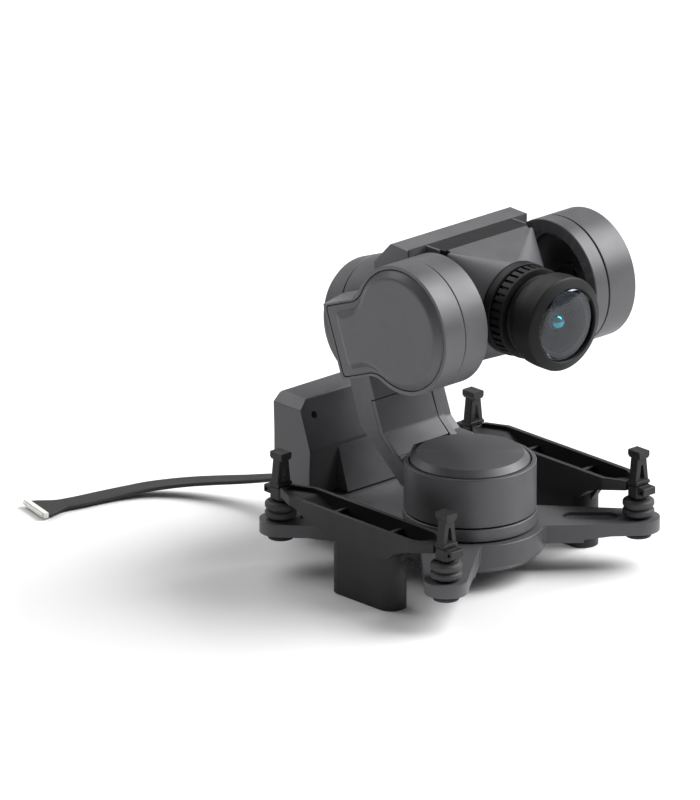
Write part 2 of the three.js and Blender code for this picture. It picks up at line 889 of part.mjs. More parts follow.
function yawArmCover() {
  const half = armWidth / 2;
  const top = -rollRadius - 1.2;
  const slab = cut(
    solid(prism("x", yawArmSide(0, top), -half, armSeamX - gap / 2)),
    solid(prism("x", yawArmSide(armCoverThickness, top + 2), -half - 2, half + 2)),
  );
  const foot = block(-half - 2, half + 2, -2 * yawRadius, 3 * yawRadius, 0, yawCapTop + 2 * gap);
  return piece("yaw_arm_cover", cut(slab, solid(foot)), "shell");
}

function yawCap() {
  const radius = yawRadius - capSeatWall - gap;
  const disc = turned("z", [
    [0, yawPlateTop + gap],
    [radius, yawPlateTop + gap],
    [radius, yawCanTop + 0.05],
    [radius - 0.9, yawCapTop],
    [0, yawCapTop],
  ]);
  const armSpace = prism("x", yawArmSide(-gap, 0), -armWidth / 2 - gap, armWidth / 2 + gap);
  return piece("yaw_cap", cut(solid(disc), solid(armSpace)), "shell");
}

// ---------------------------------------------------------------- roll arm

// A disc with a neck that runs back along the roll axis, drawn in YZ of the roll frame.
function neckedDisc(radius, half, end, fillet) {
  const up = half + fillet;
  const along = Math.sqrt((radius + fillet) ** 2 - up ** 2);
  const angle = Math.atan2(up, along);
  return [
    [end, half],
    ...arc(along, up, fillet, -Math.PI / 2, angle - Math.PI, 4),
    ...arc(0, 0, radius, angle, 2 * Math.PI - angle, 28).slice(1, -1),
    ...arc(along, -up, fillet, Math.PI - angle, Math.PI / 2, 4),
    [end, -half],
  ];
}

const rollArmInnerX = rollArmOuterX - rollArmThickness;
const pitchFloorX = rollArmOuterX - 1.5;
const coverSeatX = rollArmOuterX - 0.8;
const pitchSeamX = rollArmInnerX - gap / 2;
const pitchPlateInnerX = pitchPlateX + pitchPlate;
const pitchLength = pitchFloorX - pitchPlateInnerX;
const coverRadius = pitchRadius - 0.8;
const coverHalf = rollArmHalfHeight - 0.5;
const coverEnd = rollArmElbow - 0.7;

function rollArm() {
  const discShape = neckedDisc(pitchRadius, rollArmHalfHeight, rollArmElbow, 5);
  const disc = prism("x", discShape, -rollArmOuterX, -rollArmInnerX);
  const rearX = rollRadius - 1.2;
  const shoulder = rollSeam - gap / 2 - 0.9;
  const innerElbow = rollArmElbow - 3;
  const link = prism(
    "z",
    [
      [-rollArmOuterX, innerElbow - 1],
      [-rollArmInnerX, innerElbow - 1],
      [-rollArmInnerX, innerElbow],
      [-rearX + 0.7, rollFrontFace],
      [-rearX + 4, rollFrontFace],
      [-rearX + 4, shoulder],
      [-rearX, shoulder],
      [-rollArmOuterX, rollArmElbow],
    ],
    -rollArmHalfHeight,
    rollArmHalfHeight,
  );
  const rotorBore = rollRadius - canWall;
  const rotorPlate = rollFrontFace + rollPlate;
  const rotorEdge = rollSeam - gap / 2;
  const rotor = bar("y", rollRadius, rollFrontFace, rotorEdge);
  let body = join(solid(disc), solid(link), solid(rotor));
  body = cut(
    body,
    solid(bar("y", rotorBore, rotorPlate, rollRearFace)),
    solid(bar("x", pitchRadius - canWall, -pitchFloorX, -rollArmInnerX + 1)),
    solid(prism("x", neckedDisc(coverRadius + gap, coverHalf + gap, coverEnd + gap, 5), -30, -coverSeatX)),
  );
  const tube = statorTube("x", -pitchFloorX - 0.3, -pitchPlateInnerX - tubeShort);
  body = join(body, solid(tube));
  const tubeHole = bar("x", tubeBore, -pitchFloorX, -pitchPlateInnerX, 24);
  return piece("roll_arm", cut(body, solid(tubeHole)), "shell");
}

function rollArmCover() {
  const bevel = 1.5;
  const outerX = rollArmOuterX + armCoverRise;
  const top = shapeOf(neckedDisc(coverRadius - bevel, coverHalf - bevel, coverEnd - bevel, 6));
  const dome = new THREE.ExtrudeGeometry(top, {
    depth: 2,
    bevelThickness: 0.8,
    bevelSize: bevel,
    bevelSegments: 1,
  });
  dome.translate(0, 0, -outerX + 0.8).applyMatrix4(acrossAxis.x);
  const seat = prism("x", neckedDisc(coverRadius, coverHalf, coverEnd, 5), -outerX, -coverSeatX - gap);
  return piece("roll_arm_cover", solid(dome).intersect(solid(seat)), "shell");
}

// ---------------------------------------------------------------- bracket, balance can and camera

// The bracket's outline in YZ about the pitch axis, drawn in by inset.
function bracketSide(inset) {
  const top = bracketHalfHeight - inset;
  const rear = bracketRear - inset;
  const chamfer = 3.9;
  const draw = inset * 0.45;
  return [
    [bracketFront - inset, top],
    [rear - chamfer + draw, top],
    [rear, top - chamfer - 0.2 + draw],
    [rear, -top + chamfer + 0.2 - draw],
    [rear - chamfer + draw, -top],
    [bracketFront - inset, -top],
  ];
}

const bracketScrewX = 6.5;

function cameraBracket() {
  const side = solid(prism("x", bracketSide(0), -pitchPlateInnerX, pitchPlateInnerX));
  const room = solid(prism("x", bracketSide(bracketWall), -pitchPlateX, pitchPlateX));
  const rotorEdge = -pitchSeamX;
  const rotor = bar("x", pitchRadius, rotorEdge, -pitchPlateX);
  const rotorRoom = bar("x", pitchRadius - canWall, rotorEdge - 1, -pitchPlateInnerX);
  const balanceEnd = balanceSeamX - gap / 2;
  const balanceRing = bar("x", pitchRadius, pitchPlateX, balanceEnd);
  let body = join(cut(side, room), solid(rotor), solid(balanceRing));
  body = cut(body, solid(rotorRoom), solid(bar("x", balanceBore, pitchPlateX - 1, balanceEnd + 1)));
  for (const x of [-bracketScrewX, bracketScrewX]) {
    const hole = bar("y", screwHole, bracketRear - 4, bracketRear + 1, 12).translate(x, 0, 0);
    body = cut(body, solid(hole));
  }
  return piece("camera_bracket", body, "shell");
}

function balanceCap() {
  const seam = balanceSeamX + gap / 2;
  const plate = 1.5;
  const cup = turned("x", [
    [0, balanceOuterX - plate],
    [pitchRadius - canWall, balanceOuterX - plate],
    [pitchRadius - canWall, seam],
    [pitchRadius, seam],
    [pitchRadius, balanceOuterX - 0.5],
    [pitchRadius - 0.5, balanceOuterX],
    [0, balanceOuterX],
  ]);
  return piece("balance_cap", cup, "shell");
}

function balanceWeight() {
  const inner = 2.5;
  const outer = pitchRadius - canWall - gap;
  const body = ring("x", inner, outer, balanceSeamX + 0.9, balanceOuterX - 1.5 - gap, 32);
  return piece("balance_weight", body, "steel");
}

const cameraFrontY = bracketFront - cameraTopDepth;
const shellRear = bracketFront - gap;
const stripDepth = 0.6;
const shellWall = 1.4;

function cameraFront() {
  const corners = [];
  for (const y of [cameraFrontY, shellRear]) {
    for (const x of [-cameraHalf, cameraHalf]) {
      for (const z of [-bracketHalfHeight, bracketHalfHeight]) corners.push(new THREE.Vector3(x, y, z));
    }
  }
  for (let i = 0; i < lensFacets; i++) {
    const angle = (2 * Math.PI * i) / lensFacets;
    const x = neckRadius * Math.cos(angle);
    corners.push(new THREE.Vector3(x, -neckFront, neckRadius * Math.sin(angle)));
  }
  const pocket = block(
    -cameraHalf + shellWall,
    cameraHalf - shellWall,
    cameraFrontY + 0.6,
    shellRear + 1,
    -bracketHalfHeight + shellWall,
    bracketHalfHeight - shellWall,
  );
  const lensHole = bar("y", lensStemRadius + gap, -neckFront - 1, shellRear, lensFacets);
  const stripSeat = block(
    -cameraHalf + 0.4 - gap,
    cameraHalf - 0.4 + gap,
    cameraFrontY + 0.4 - gap,
    shellRear + 1,
    bracketHalfHeight - stripDepth,
    bracketHalfHeight + 1,
  );
  const body = cut(solid(new ConvexGeometry(corners)), solid(pocket), solid(lensHole), solid(stripSeat));
  return piece("camera_front", body, "shell");
}

function cameraStrip() {
  const body = block(
    -cameraHalf + 0.4,
    cameraHalf - 0.4,
    cameraFrontY + 0.4,
    shellRear,
    bracketHalfHeight - stripDepth + gap,
    bracketHalfHeight,
  );
  return piece("camera_top_strip", body, "black");
}

function cameraBack() {
  const inset = bracketWall + gap;
  const half = cameraHalf - 0.6;
  const outline = bracketSide(inset).map(([y, z]) => [Math.max(y, bracketFront), z]);
  const room = bracketSide(inset + 1.2).map(([y, z]) => [Math.max(y, bracketFront - 1), z]);
  room[0][0] = bracketFront - 1;
  room[room.length - 1][0] = bracketFront - 1;
  let body = cut(
    solid(prism("x", outline, -half, half)),
    solid(prism("x", room, -half + 1.2, half - 1.2)),
  );
  for (const x of [-bracketScrewX, bracketScrewX]) {
    const hole = bar("y", screwHole, bracketRear - 6, bracketRear, 12).translate(x, 0, 0);
    body = cut(body, solid(hole));
  }
  return piece("camera_back", body, "black");
}

function imageSensorBoard() {
  const half = cameraHalf - shellWall - gap;
  const tall = bracketHalfHeight - shellWall - gap;
  const y = shellRear - 2.2;
  const board = block(-half, half, y, y + boardThickness, -tall, tall);
  const chip = block(-3.4, 3.4, y - 0.8, y + 0.2, -2.6, 2.6);
  return piece("image_sensor_board", join(solid(board), solid(chip)), "board");
}

function processorBoard() {
  const half = cameraHalf - 0.6 - 1.2 - gap;
  const tall = bracketHalfHeight - bracketWall - 1.2 - 2 * gap;
  const y = bracketFront + 1;
  return piece("processor_board", block(-half, half, y, y + boardThickness, -tall, tall), "board");
}

// Stations along the lens, counted forwards from the pitch axis
const mountRingFrom = neckFront + gap;
const mountRingTo = mountRingFrom + 1.5;
const lockRingFrom = mountRingTo + gap;
const lockRingTo = lockRingFrom + 2.5;
const barrelFrom = lockRingTo + gap;
const lensHeadFrom = lensFront - lensHeadLength;

function lensMountRing() {
  const body = ring("-y", lensStemRadius + gap, neckRadius, mountRingFrom, mountRingTo, lensFacets);
  return piece("lens_mount_ring", body, "black");
}

function lensLockRing() {
  const radius = neckRadius - 0.2;
  let body = solid(ring("-y", lensStemRadius + gap, radius, lockRingFrom, lockRingTo, 2 * lockRingTeeth));
  for (let i = 0; i < lockRingTeeth; i++) {
    const slot = block(radius - 0.45, radius + 1, -lockRingTo + 0.5, -lockRingFrom + 0.5, -0.22, 0.22);
    body = cut(body, solid(slot.rotateY((2 * Math.PI * (i + 0.5)) / lockRingTeeth)));
  }
  return piece("lens_lock_ring", body, "black");
}

function lensBarrel() {
  const body = turned(
    "-y",
    [
      [lensBore, -1.5],
      [lensStemRadius, -1.5],
      [lensStemRadius, barrelFrom],
      [lensStemRadius + 0.9, barrelFrom],
      [lensStemRadius + 0.9, barrelFrom + 0.5],
      [lensStemRadius + 0.7, barrelFrom + 0.6],
      [lensStemRadius + 0.7, lensHeadFrom - 0.5],
      [lensHeadRadius, lensHeadFrom],
      [lensHeadRadius, lensFront - 0.9],
      [lensHeadRadius - 0.2, lensFront - 0.7],
      [glassRadius + gap, lensFront],
      [glassRadius + gap, lensFront - 1.6],
      [lensBore, lensFront - 1.6],
      [lensBore, -1.5],
    ],
    lensFacets,
  );
  return piece("lens_barrel", body, "black");
}

function frontGlass() {
  const seat = lensFront - 1.6 + gap;
  const edge = lensFront - 0.3;
  const profile = [[0, seat], [glassRadius, seat]];
  const steps = 3;
  for (let i = 0; i <= steps; i++) {
    const angle = (Math.PI / 2) * (i / steps);
    profile.push([glassRadius * Math.cos(angle), edge + glassRise * Math.sin(angle)]);
  }
  profile[profile.length - 1][0] = 0;
  return piece("front_glass", turned("-y", profile, lensFacets), "glass");
}

function lensElement(name, from, to) {
  const radius = lensBore - gap;
  const bulge = (to - from) * 0.3;
  const profile = [
    [0, from],
    [0.6 * radius, from + 0.35 * bulge],
    [radius, from + bulge],
    [radius, to - bulge],
    [0.6 * radius, to - 0.35 * bulge],
    [0, to],
  ];
  return piece(name, turned("-y", profile, 24), "glass");
}

// ---------------------------------------------------------------- cable

const connectorX = -34.6;
const connectorY = 68.6;

function cable() {
  const points = cableRoute.map(([x, y, z]) => new THREE.Vector3(x, y, z));
  const half = cableWidth / 2;
  const thin = cableThickness / 2;
  const section = shapeOf([
    [-half, -thin + 0.25],
    [-half + 0.4, -thin],
    [half - 0.4, -thin],
    [half, -thin + 0.25],
    [half, thin - 0.25],
    [half - 0.4, thin],
    [-half + 0.4, thin],
    [-half, thin - 0.25],
  ]);
  const geometry = new THREE.ExtrudeGeometry(section, {
    extrudePath: new THREE.CatmullRomCurve3(points),
    steps: 30,
    bevelEnabled: false,
  });
  return piece("cable", geometry, "braid");
}

// The flared tail that spreads the conductors, with the contact strip at its end.
function cableTail() {
  const end = cableRoute[cableRoute.length - 1];
  const length = Math.hypot(connectorX - end[0], connectorY - end[1]);
  const plan = [
    [gap, -cableWidth / 2],
    [length, -cableWidth],
    [length, cableWidth],
    [gap, cableWidth / 2],
  ];
  const geometry = prism("z", plan, 0.25, 0.25 + cableThickness);
  geometry.rotateZ(Math.atan2(connectorY - end[1], connectorX - end[0]));
  geometry.translate(end[0], end[1], 0);
  return piece("cable_tail", geometry, "braid");
}

function cableConnector() {
  const end = cableRoute[cableRoute.length - 1];
  const geometry = block(gap, gap + 0.9, -cableWidth - 0.1, cableWidth + 0.1, 0.1, 1.3);
  geometry.rotateZ(Math.atan2(connectorY - end[1], connectorX - end[0]));
  geometry.translate(connectorX, connectorY, 0);
  return piece("cable_connector", geometry, "contact");
}

// ---------------------------------------------------------------- assembly

function baseGroup() {
  const group = new THREE.Group();
  const innards = new THREE.Group();
  innards.position.z = yawFloor;
  innards.add(
    statorCore("yaw_stator_core", yawRadius, yawLength),
    bearing("yaw_bearing_lower", 0.5),
    bearing("yaw_bearing_upper", yawLength - tubeShort - bearingLength),
  );
  group.add(basePlate(), rearHousing(), controlBoard(), strainRelief(), yawStatorHousing(), innards);
  hubScrewAngles.forEach((angle, i) => {
    const fastener = screw(`hub_screw_${i + 1}`, yawFloor - hubBottom - 0.6);
    const x = hubScrewCircle * Math.cos(angle);
    const y = hubScrewCircle * Math.sin(angle);
    fastener.position.set(x, y, hubScrewSeat - screwHeadHeight);
    group.add(fastener);
  });
  for (const [side, x] of [
    ["left", -housingScrewX],
    ["right", housingScrewX],
  ]) {
    const fastener = screw(`housing_screw_${side}`, plateTop - plateBottom + 4);
    fastener.position.set(x, housingScrewY, plateBottom);
    group.add(fastener);
  }
  group.add(cable(), cableTail(), cableConnector());
  return group;
}

function yawGroup() {
  const group = new THREE.Group();
  const innards = new THREE.Group();
  innards.position.z = yawFloor;
  const rotorEdge = yawSeam + gap / 2 - yawFloor;
  innards.add(
    magnetRing("yaw_magnet_ring", yawRadius, yawLength, rotorEdge),
    motorShaft("yaw_shaft", yawLength),
  );
  group.add(yawArm(), yawArmCover(), yawCap(), innards);
  return group;
}

const rollLength = rollRearFace - rollPlate - (rollFrontFace + rollPlate);

// Pieces of the roll motor, counted forwards from the stator's floor.
function rollInnards() {
  const group = new THREE.Group();
  group.position.y = rollRearFace - rollPlate;
  group.rotation.x = Math.PI / 2;
  return group;
}

function rollStatorGroup() {
  const group = new THREE.Group();
  const innards = rollInnards();
  innards.add(
    statorCore("roll_stator_core", rollRadius, rollLength),
    bearing("roll_bearing_rear", 0.5),
    bearing("roll_bearing_front", rollLength - tubeShort - bearingLength),
  );
  const capFrom = rollRearFace + gap;
  const cap = turned("y", [
    [0, capFrom],
    [rollRadius - 0.4, capFrom],
    [rollRadius - 0.4, capFrom + 0.3],
    [rollRadius - 1.2, capFrom + rollCapThickness],
    [0, capFrom + rollCapThickness],
  ]);
  group.add(innards, piece("roll_end_cap", cap, "shell"));
  return group;
}

function pitchInnards() {
  const group = new THREE.Group();
  group.position.x = -pitchFloorX;
  group.rotation.y = Math.PI / 2;
  return group;
}

function rollGroup() {
  const group = new THREE.Group();
  const rollMotor = rollInnards();
  const rotorEdge = rollRearFace - rollPlate - (rollSeam - gap / 2);
  rollMotor.add(
    magnetRing("roll_magnet_ring", rollRadius, rollLength, rotorEdge),
    motorShaft("roll_shaft", rollLength),
  );
  const pitchMotor = pitchInnards();
  pitchMotor.add(
    statorCore("pitch_stator_core", pitchRadius, pitchLength),
    bearing("pitch_bearing_outer", 0.5),
    bearing("pitch_bearing_inner", pitchLength - tubeShort - bearingLength),
  );
  group.add(rollArm(), rollArmCover(), rollMotor, pitchMotor);
  return group;
}

function cameraGroup() {
  const group = new THREE.Group();
  const pitchMotor = pitchInnards();
  const rotorEdge = pitchFloorX - pitchSeamX;
  pitchMotor.add(
    magnetRing("pitch_magnet_ring", pitchRadius, pitchLength, rotorEdge),
    motorShaft("pitch_shaft", pitchLength),
  );
  group.add(pitchMotor, cameraBracket(), balanceCap(), balanceWeight());
  group.add(cameraFront(), cameraStrip(), cameraBack(), imageSensorBoard(), processorBoard());
  group.add(lensMountRing(), lensLockRing(), lensBarrel(), frontGlass());
  group.add(lensElement("middle_lens", 7.6, 11.4), lensElement("rear_lens", -0.8, 2.4));
  for (const [side, x] of [
    ["left", -bracketScrewX],
    ["right", bracketScrewX],
  ]) {
    const fastener = screw(`bracket_screw_${side}`, 5);
    fastener.rotation.x = Math.PI / 2;
    fastener.position.set(x, bracketRear + screwHeadHeight + gap, 0);
    group.add(fastener);
  }
  return group;
}

const gimbal = new THREE.Group();
const lensReach = lensFront - 0.3 + glassRise;
gimbal.position.y = -(pitchAxisY - lensReach + housingRearY) / 2;

const camera = cameraGroup();
camera.rotation.x = rollTilt;
const rollAssembly = rollGroup();
rollAssembly.add(camera);
const rollPlace = new THREE.Group();
rollPlace.position.set(0, pitchAxisY, pitchAxisZ);
rollPlace.rotation.x = -rollTilt;
rollPlace.add(rollStatorGroup(), rollAssembly);
const yawAssembly = yawGroup();
yawAssembly.add(rollPlace);
const base = baseGroup();
base.add(yawAssembly);
gimbal.add(mountGroup(), base);

export default gimbal;
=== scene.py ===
import json
from math import asin, atan2, ceil, copysign, cos, floor, pi, radians, sin, sqrt, tan

import bmesh
import bpy
from mathutils import Matrix, Vector


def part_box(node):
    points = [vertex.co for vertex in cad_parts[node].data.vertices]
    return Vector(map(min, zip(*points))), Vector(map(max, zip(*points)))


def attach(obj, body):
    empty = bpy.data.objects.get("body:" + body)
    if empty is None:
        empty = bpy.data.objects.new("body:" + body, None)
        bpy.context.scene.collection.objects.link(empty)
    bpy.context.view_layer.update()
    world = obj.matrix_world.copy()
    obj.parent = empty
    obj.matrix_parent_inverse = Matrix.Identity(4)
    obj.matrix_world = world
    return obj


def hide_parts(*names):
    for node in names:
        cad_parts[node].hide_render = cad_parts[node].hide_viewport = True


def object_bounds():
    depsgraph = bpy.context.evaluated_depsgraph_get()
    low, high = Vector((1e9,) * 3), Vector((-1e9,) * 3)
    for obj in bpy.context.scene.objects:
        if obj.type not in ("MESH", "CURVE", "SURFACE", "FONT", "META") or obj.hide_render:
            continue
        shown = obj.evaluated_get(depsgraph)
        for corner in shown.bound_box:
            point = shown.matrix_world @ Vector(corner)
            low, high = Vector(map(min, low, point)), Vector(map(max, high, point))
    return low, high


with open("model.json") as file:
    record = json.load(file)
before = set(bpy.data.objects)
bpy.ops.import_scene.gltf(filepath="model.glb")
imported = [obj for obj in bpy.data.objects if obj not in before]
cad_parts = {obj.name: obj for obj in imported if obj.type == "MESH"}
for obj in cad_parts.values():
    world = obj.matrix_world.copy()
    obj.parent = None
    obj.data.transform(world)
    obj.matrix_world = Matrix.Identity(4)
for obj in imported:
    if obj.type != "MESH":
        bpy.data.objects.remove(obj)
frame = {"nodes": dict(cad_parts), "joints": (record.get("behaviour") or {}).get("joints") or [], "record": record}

cad_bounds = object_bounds()
record = frame["record"]
scene = bpy.context.scene
MM = 0.001

# ------------ places taken from the frame

joints = {joint["name"]: joint for joint in frame["joints"]}


def joint_point(name):
    return Vector(joints[name]["pos_m"]) / MM


def span(node):
    """The lowest and highest corner of a CAD node in millimetres."""
    low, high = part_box(node)
    return low / MM, high / MM


def centre_of(bounds):
    return (Vector(bounds[0]) + Vector(bounds[1])) / 2


yaw_point = joint_point("yaw")
pitch_point = joint_point("pitch")
base_place = Matrix.Translation((yaw_point.x, yaw_point.y, 0))
camera_place = Matrix.Translation(pitch_point)
roll_back = -Vector(joints["roll"]["axis"]).normalized()
roll_up = Vector((1, 0, 0)).cross(roll_back)
roll_place = camera_place @ Matrix(((1, 0, 0), roll_back, roll_up)).transposed().to_4x4()


def in_base(node):
    """A node's corners measured from the foot of the yaw axis."""
    low, high = span(node)
    shift = base_place.translation
    return low - shift, high - shift


def in_camera(node):
    """A node's corners measured from the pitch point."""
    low, high = span(node)
    return low - pitch_point, high - pitch_point


# ------------ camera

# A long lens from far away, which is close to a parallel projection.
azimuth = radians(-43.1)
elevation = radians(19.9)
camera_distance = 2.96
view_right = Vector((cos(azimuth), sin(azimuth), 0))
level = cos(elevation)
toward_camera = Vector((sin(azimuth) * level, -cos(azimuth) * level, sin(elevation)))
view_up = toward_camera.cross(view_right)
aim = centre_of(cad_bounds) + 0.85 * MM * view_right - 4.98 * MM * view_up

lens = bpy.data.cameras.new("camera")
lens.lens = 800
lens.sensor_width = 36
lens.clip_end = 50
camera = bpy.data.objects.new("camera", lens)
camera.location = aim + camera_distance * toward_camera
camera.rotation_euler = toward_camera.to_track_quat("Z", "Y").to_euler()
scene.collection.objects.link(camera)
scene.camera = camera

# ------------ materials


class Nodes:
    """A short way to write a node tree."""

    def __init__(self, name):
        self.material = bpy.data.materials.new(name)
        self.material.use_nodes = True
        self.tree = self.material.node_tree
        self.shader = self.tree.nodes["Principled BSDF"]

    def add(self, kind, **sockets):
        node = self.tree.nodes.new(kind)
        for name, value in sockets.items():
            self.plug(value, node.inputs[name.replace("_", " ")])
        return node

    def plug(self, value, socket):
        if isinstance(value, bpy.types.NodeSocket):
            self.tree.links.new(value, socket)
        else:
            socket.default_value = value

    def place(self):
        return self.add("ShaderNodeTexCoord").outputs["Object"]

    def noise(self, size, detail=3.0):
        """Noise whose grains are about `size` millimetres across."""
        scale = 1 / (size * MM)
        return self.add("ShaderNodeTexNoise", Vector=self.place(), Scale=scale, Detail=detail).outputs["Fac"]

    def ranged(self, value, low, high, start=0.3, end=0.7):
        ends = {"From_Min": start, "From_Max": end, "To_Min": low, "To_Max": high}
        return self.add("ShaderNodeMapRange", Value=value, **ends).outputs["Result"]

    def mixed(self, share, first, second):
        """Two colours mixed: sockets 6 and 7 are the colours, output 2 is the result."""
        node = self.tree.nodes.new("ShaderNodeMix")
        node.data_type = "RGBA"
        self.plug(share, node.inputs["Factor"])
        self.plug(first, node.inputs[6])
        self.plug(second, node.inputs[7])
        return node.outputs[2]

    def bumped(self, height, depth):
        """A bump of `depth` millimetres."""
        return self.add("ShaderNodeBump", Height=height, Distance=depth * MM).outputs["Normal"]


def scaled(color, share):
    return (*[channel * share for channel in color], 1)


patch_size = 5.0
tone_change = 0.12
# How strongly sharp edges are lightened: a painted highlight.
edge_highlight = 0.25


def surface(name, color, roughness, grain, depth, metallic=0.0, specular=0.5):
    """A solid finish: fine grain, patchy sheen and colour, and edges painted lighter as a painted highlight."""
    nodes = Nodes(name)
    shader = nodes.shader
    patches = nodes.noise(patch_size)
    fine = nodes.noise(grain, 2.0)
    tones = scaled(color, 1 - tone_change), scaled(color, 1 + tone_change)
    tone = nodes.mixed(nodes.ranged(patches, 0, 1), *tones)
    speck = nodes.mixed(nodes.ranged(fine, 0, 0.35), tone, scaled(color, 1.35))
    # Edges lightened by Pointiness: a painted highlight along sharp edges.
    pointed = nodes.add("ShaderNodeNewGeometry").outputs["Pointiness"]
    edge = nodes.ranged(pointed, 0, edge_highlight, 0.52, 0.62)
    nodes.plug(nodes.mixed(edge, speck, scaled(color, 2.2)), shader.inputs["Base Color"])
    nodes.plug(nodes.ranged(patches, roughness - 0.05, roughness + 0.05), shader.inputs["Roughness"])
    nodes.plug(nodes.bumped(fine, depth), shader.inputs["Normal"])
    shader.inputs["Metallic"].default_value = metallic
    shader.inputs["Specular IOR Level"].default_value = specular
    return nodes.material


# Colour, roughness, grain and depth of the grain in millimetres, then metallic and specular.
looks = {
    "aluminium_dark": ((0.100, 0.100, 0.107), 0.47, 0.16, 0.004, 0.22),
    "shell_plastic": ((0.076, 0.076, 0.082), 0.44, 0.2, 0.006, 0.1),
    "mount_plastic": ((0.010, 0.010, 0.011), 0.56, 0.24, 0.010),
    "rubber": ((0.045, 0.045, 0.046), 0.62, 0.3, 0.006),
    "black_plastic": ((0.009, 0.009, 0.0095), 0.55, 0.2, 0.005, 0.0, 0.22),
    "steel": ((0.42, 0.42, 0.43), 0.3, 0.12, 0.003, 1.0),
    "wound_copper": ((0.45, 0.18, 0.08), 0.4, 0.25, 0.02, 0.9),
    "circuit_board": ((0.02, 0.10, 0.05), 0.45, 0.5, 0.01),
    "braided_sleeve": ((0.012, 0.012, 0.013), 0.62, 0.12, 0.008),
    "connector_white": ((0.72, 0.71, 0.68), 0.45, 0.3, 0.006),
}
finishes = {name: surface(name, *look) for name, look in looks.items()}


def coated_glass():
    """Clear coated glass, a little blue, over the black inside of the lens."""
    nodes = Nodes("coated_glass")
    shader = nodes.shader
    shader.inputs["Base Color"].default_value = (0.62, 0.68, 0.80, 1)
    shader.inputs["Transmission Weight"].default_value = 1
    shader.inputs["IOR"].default_value = 1.36
    nodes.plug(nodes.ranged(nodes.noise(2.5), 0.02, 0.05), shader.inputs["Roughness"])
    return nodes.material


finishes["coated_glass"] = coated_glass()

# ------------ shapes


def split_large_faces(build):
    """Faces of more than four corners as triangles, which the booleans and the renderer keep exact."""
    large = [face for face in build.faces if len(face.verts) > 4]
    bmesh.ops.triangulate(build, faces=large, quad_method="BEAUTY", ngon_method="BEAUTY")


def mesh_of(build):
    mesh = bpy.data.meshes.new("shape")
    bmesh.ops.remove_doubles(build, verts=build.verts[:], dist=0.0005)
    split_large_faces(build)
    bmesh.ops.recalc_face_normals(build, faces=build.faces)
    build.to_mesh(mesh)
    build.free()
    return mesh


corner_step = radians(9)
side_share = 0.49


def rounded(points, closed=True):
    """An outline whose corners are rounded: points are (u, v) or (u, v, radius)."""
    result = []
    count = len(points)
    for i, point in enumerate(points):
        here = Vector(point[:2])
        radius = point[2] if len(point) > 2 else 0
        if not radius or (not closed and i in (0, count - 1)):
            result.append(here)
            continue
        before = Vector(points[i - 1][:2]) - here
        after = Vector(points[(i + 1) % count][:2]) - here
        between = before.angle(after)
        reach = min(radius / tan(between / 2), side_share * before.length, side_share * after.length)
        radius = reach * tan(between / 2)
        inward = (before.normalized() + after.normalized()).normalized()
        middle = here + inward * (radius / sin(between / 2))
        start = here + before.normalized() * reach - middle
        end = here + after.normalized() * reach - middle
        sweep = -start.angle_signed(end)
        steps = max(2, ceil(abs(sweep) / corner_step))
        for k in range(steps + 1):
            turn = Matrix.Rotation(sweep * k / steps, 2)
            result.append(middle + turn @ start)
    return [tuple(p) for p in result]


def arc(centre_u, centre_v, radius, start, end, steps):
    """Points along a circular arc, angles in radians."""
    points = []
    for i in range(steps + 1):
        angle = start + (end - start) * i / steps
        points.append((centre_u + radius * cos(angle), centre_v + radius * sin(angle)))
    return points


turning = {
    "z": lambda c, s, h: (c, s, h),
    "x": lambda c, s, h: (h, c, s),
    "y": lambda c, s, h: (s, h, c),
    "-y": lambda c, s, h: (c, -h, s),
}


def symmetric(half, middle=0.0):
    """An outline from its right half: points (distance from the middle, v[, radius]) from the bottom up."""
    right = [(middle + u, *rest) for u, *rest in half]
    left = [(middle - u, *rest) for u, *rest in half]
    return [left[0], *right, *reversed(left[1:])]


def turned(axis, profile, steps=160):
    """A profile of (radius, height[, corner radius]) points turned round an axis.

    A profile that starts and ends on the axis stays open there, and any other is closed.
    """
    build = bmesh.new()
    on_axis = 1e-6
    closed = max(profile[0][0], profile[-1][0]) > on_axis
    rings = []
    for radius, height in rounded(profile, closed):
        spots = [(0, 0)]
        if radius > on_axis:
            spots = arc(0, 0, radius, 0, 2 * pi, steps)[:-1]
        rings.append([build.verts.new(turning[axis](c, s, height)) for c, s in spots])
    pairs = list(zip(rings, rings[1:]))
    if closed:
        pairs.append((rings[-1], rings[0]))
    for low, high in pairs:
        if len(low) == 1 and len(high) == 1:
            continue
        for i in range(steps):
            j = (i + 1) % steps
            corners = [low[i % len(low)], low[j % len(low)], high[j % len(high)], high[i % len(high)]]
            build.faces.new(list(dict.fromkeys(corners)))
    return mesh_of(build)


def ring(axis, inner, outer, low, high, edge=0.15, steps=120):
    corners = (inner, low), (outer, low), (outer, high), (inner, high)
    return turned(axis, [(*corner, edge) for corner in corners], steps)


def bar(axis, radius, low, high, edge=0.15, steps=96):
    return turned(axis, [(0, low), (radius, low, edge), (radius, high, edge), (0, high)], steps)


def softened(build, edges, width):
    bmesh.ops.bevel(build, geom=edges, offset=width, segments=3, profile=0.5, affect="EDGES")


def upright(radius, x, y, low, high, steps):
    """A sharp-edged vertical bar, mostly the shape of a hole."""
    return shifted(bar("z", radius, low, high, 0, steps), x, y, 0)


drawing = {
    "x": lambda u, v, d: (d, u, v),
    "y": lambda u, v, d: (u, d, v),
    "z": lambda u, v, d: (u, v, d),
}


def skin_between(build, low, high):
    """Faces between two loops of as many points."""
    for i in range(len(low)):
        j = (i + 1) % len(low)
        build.faces.new((low[i], low[j], high[j], high[i]))


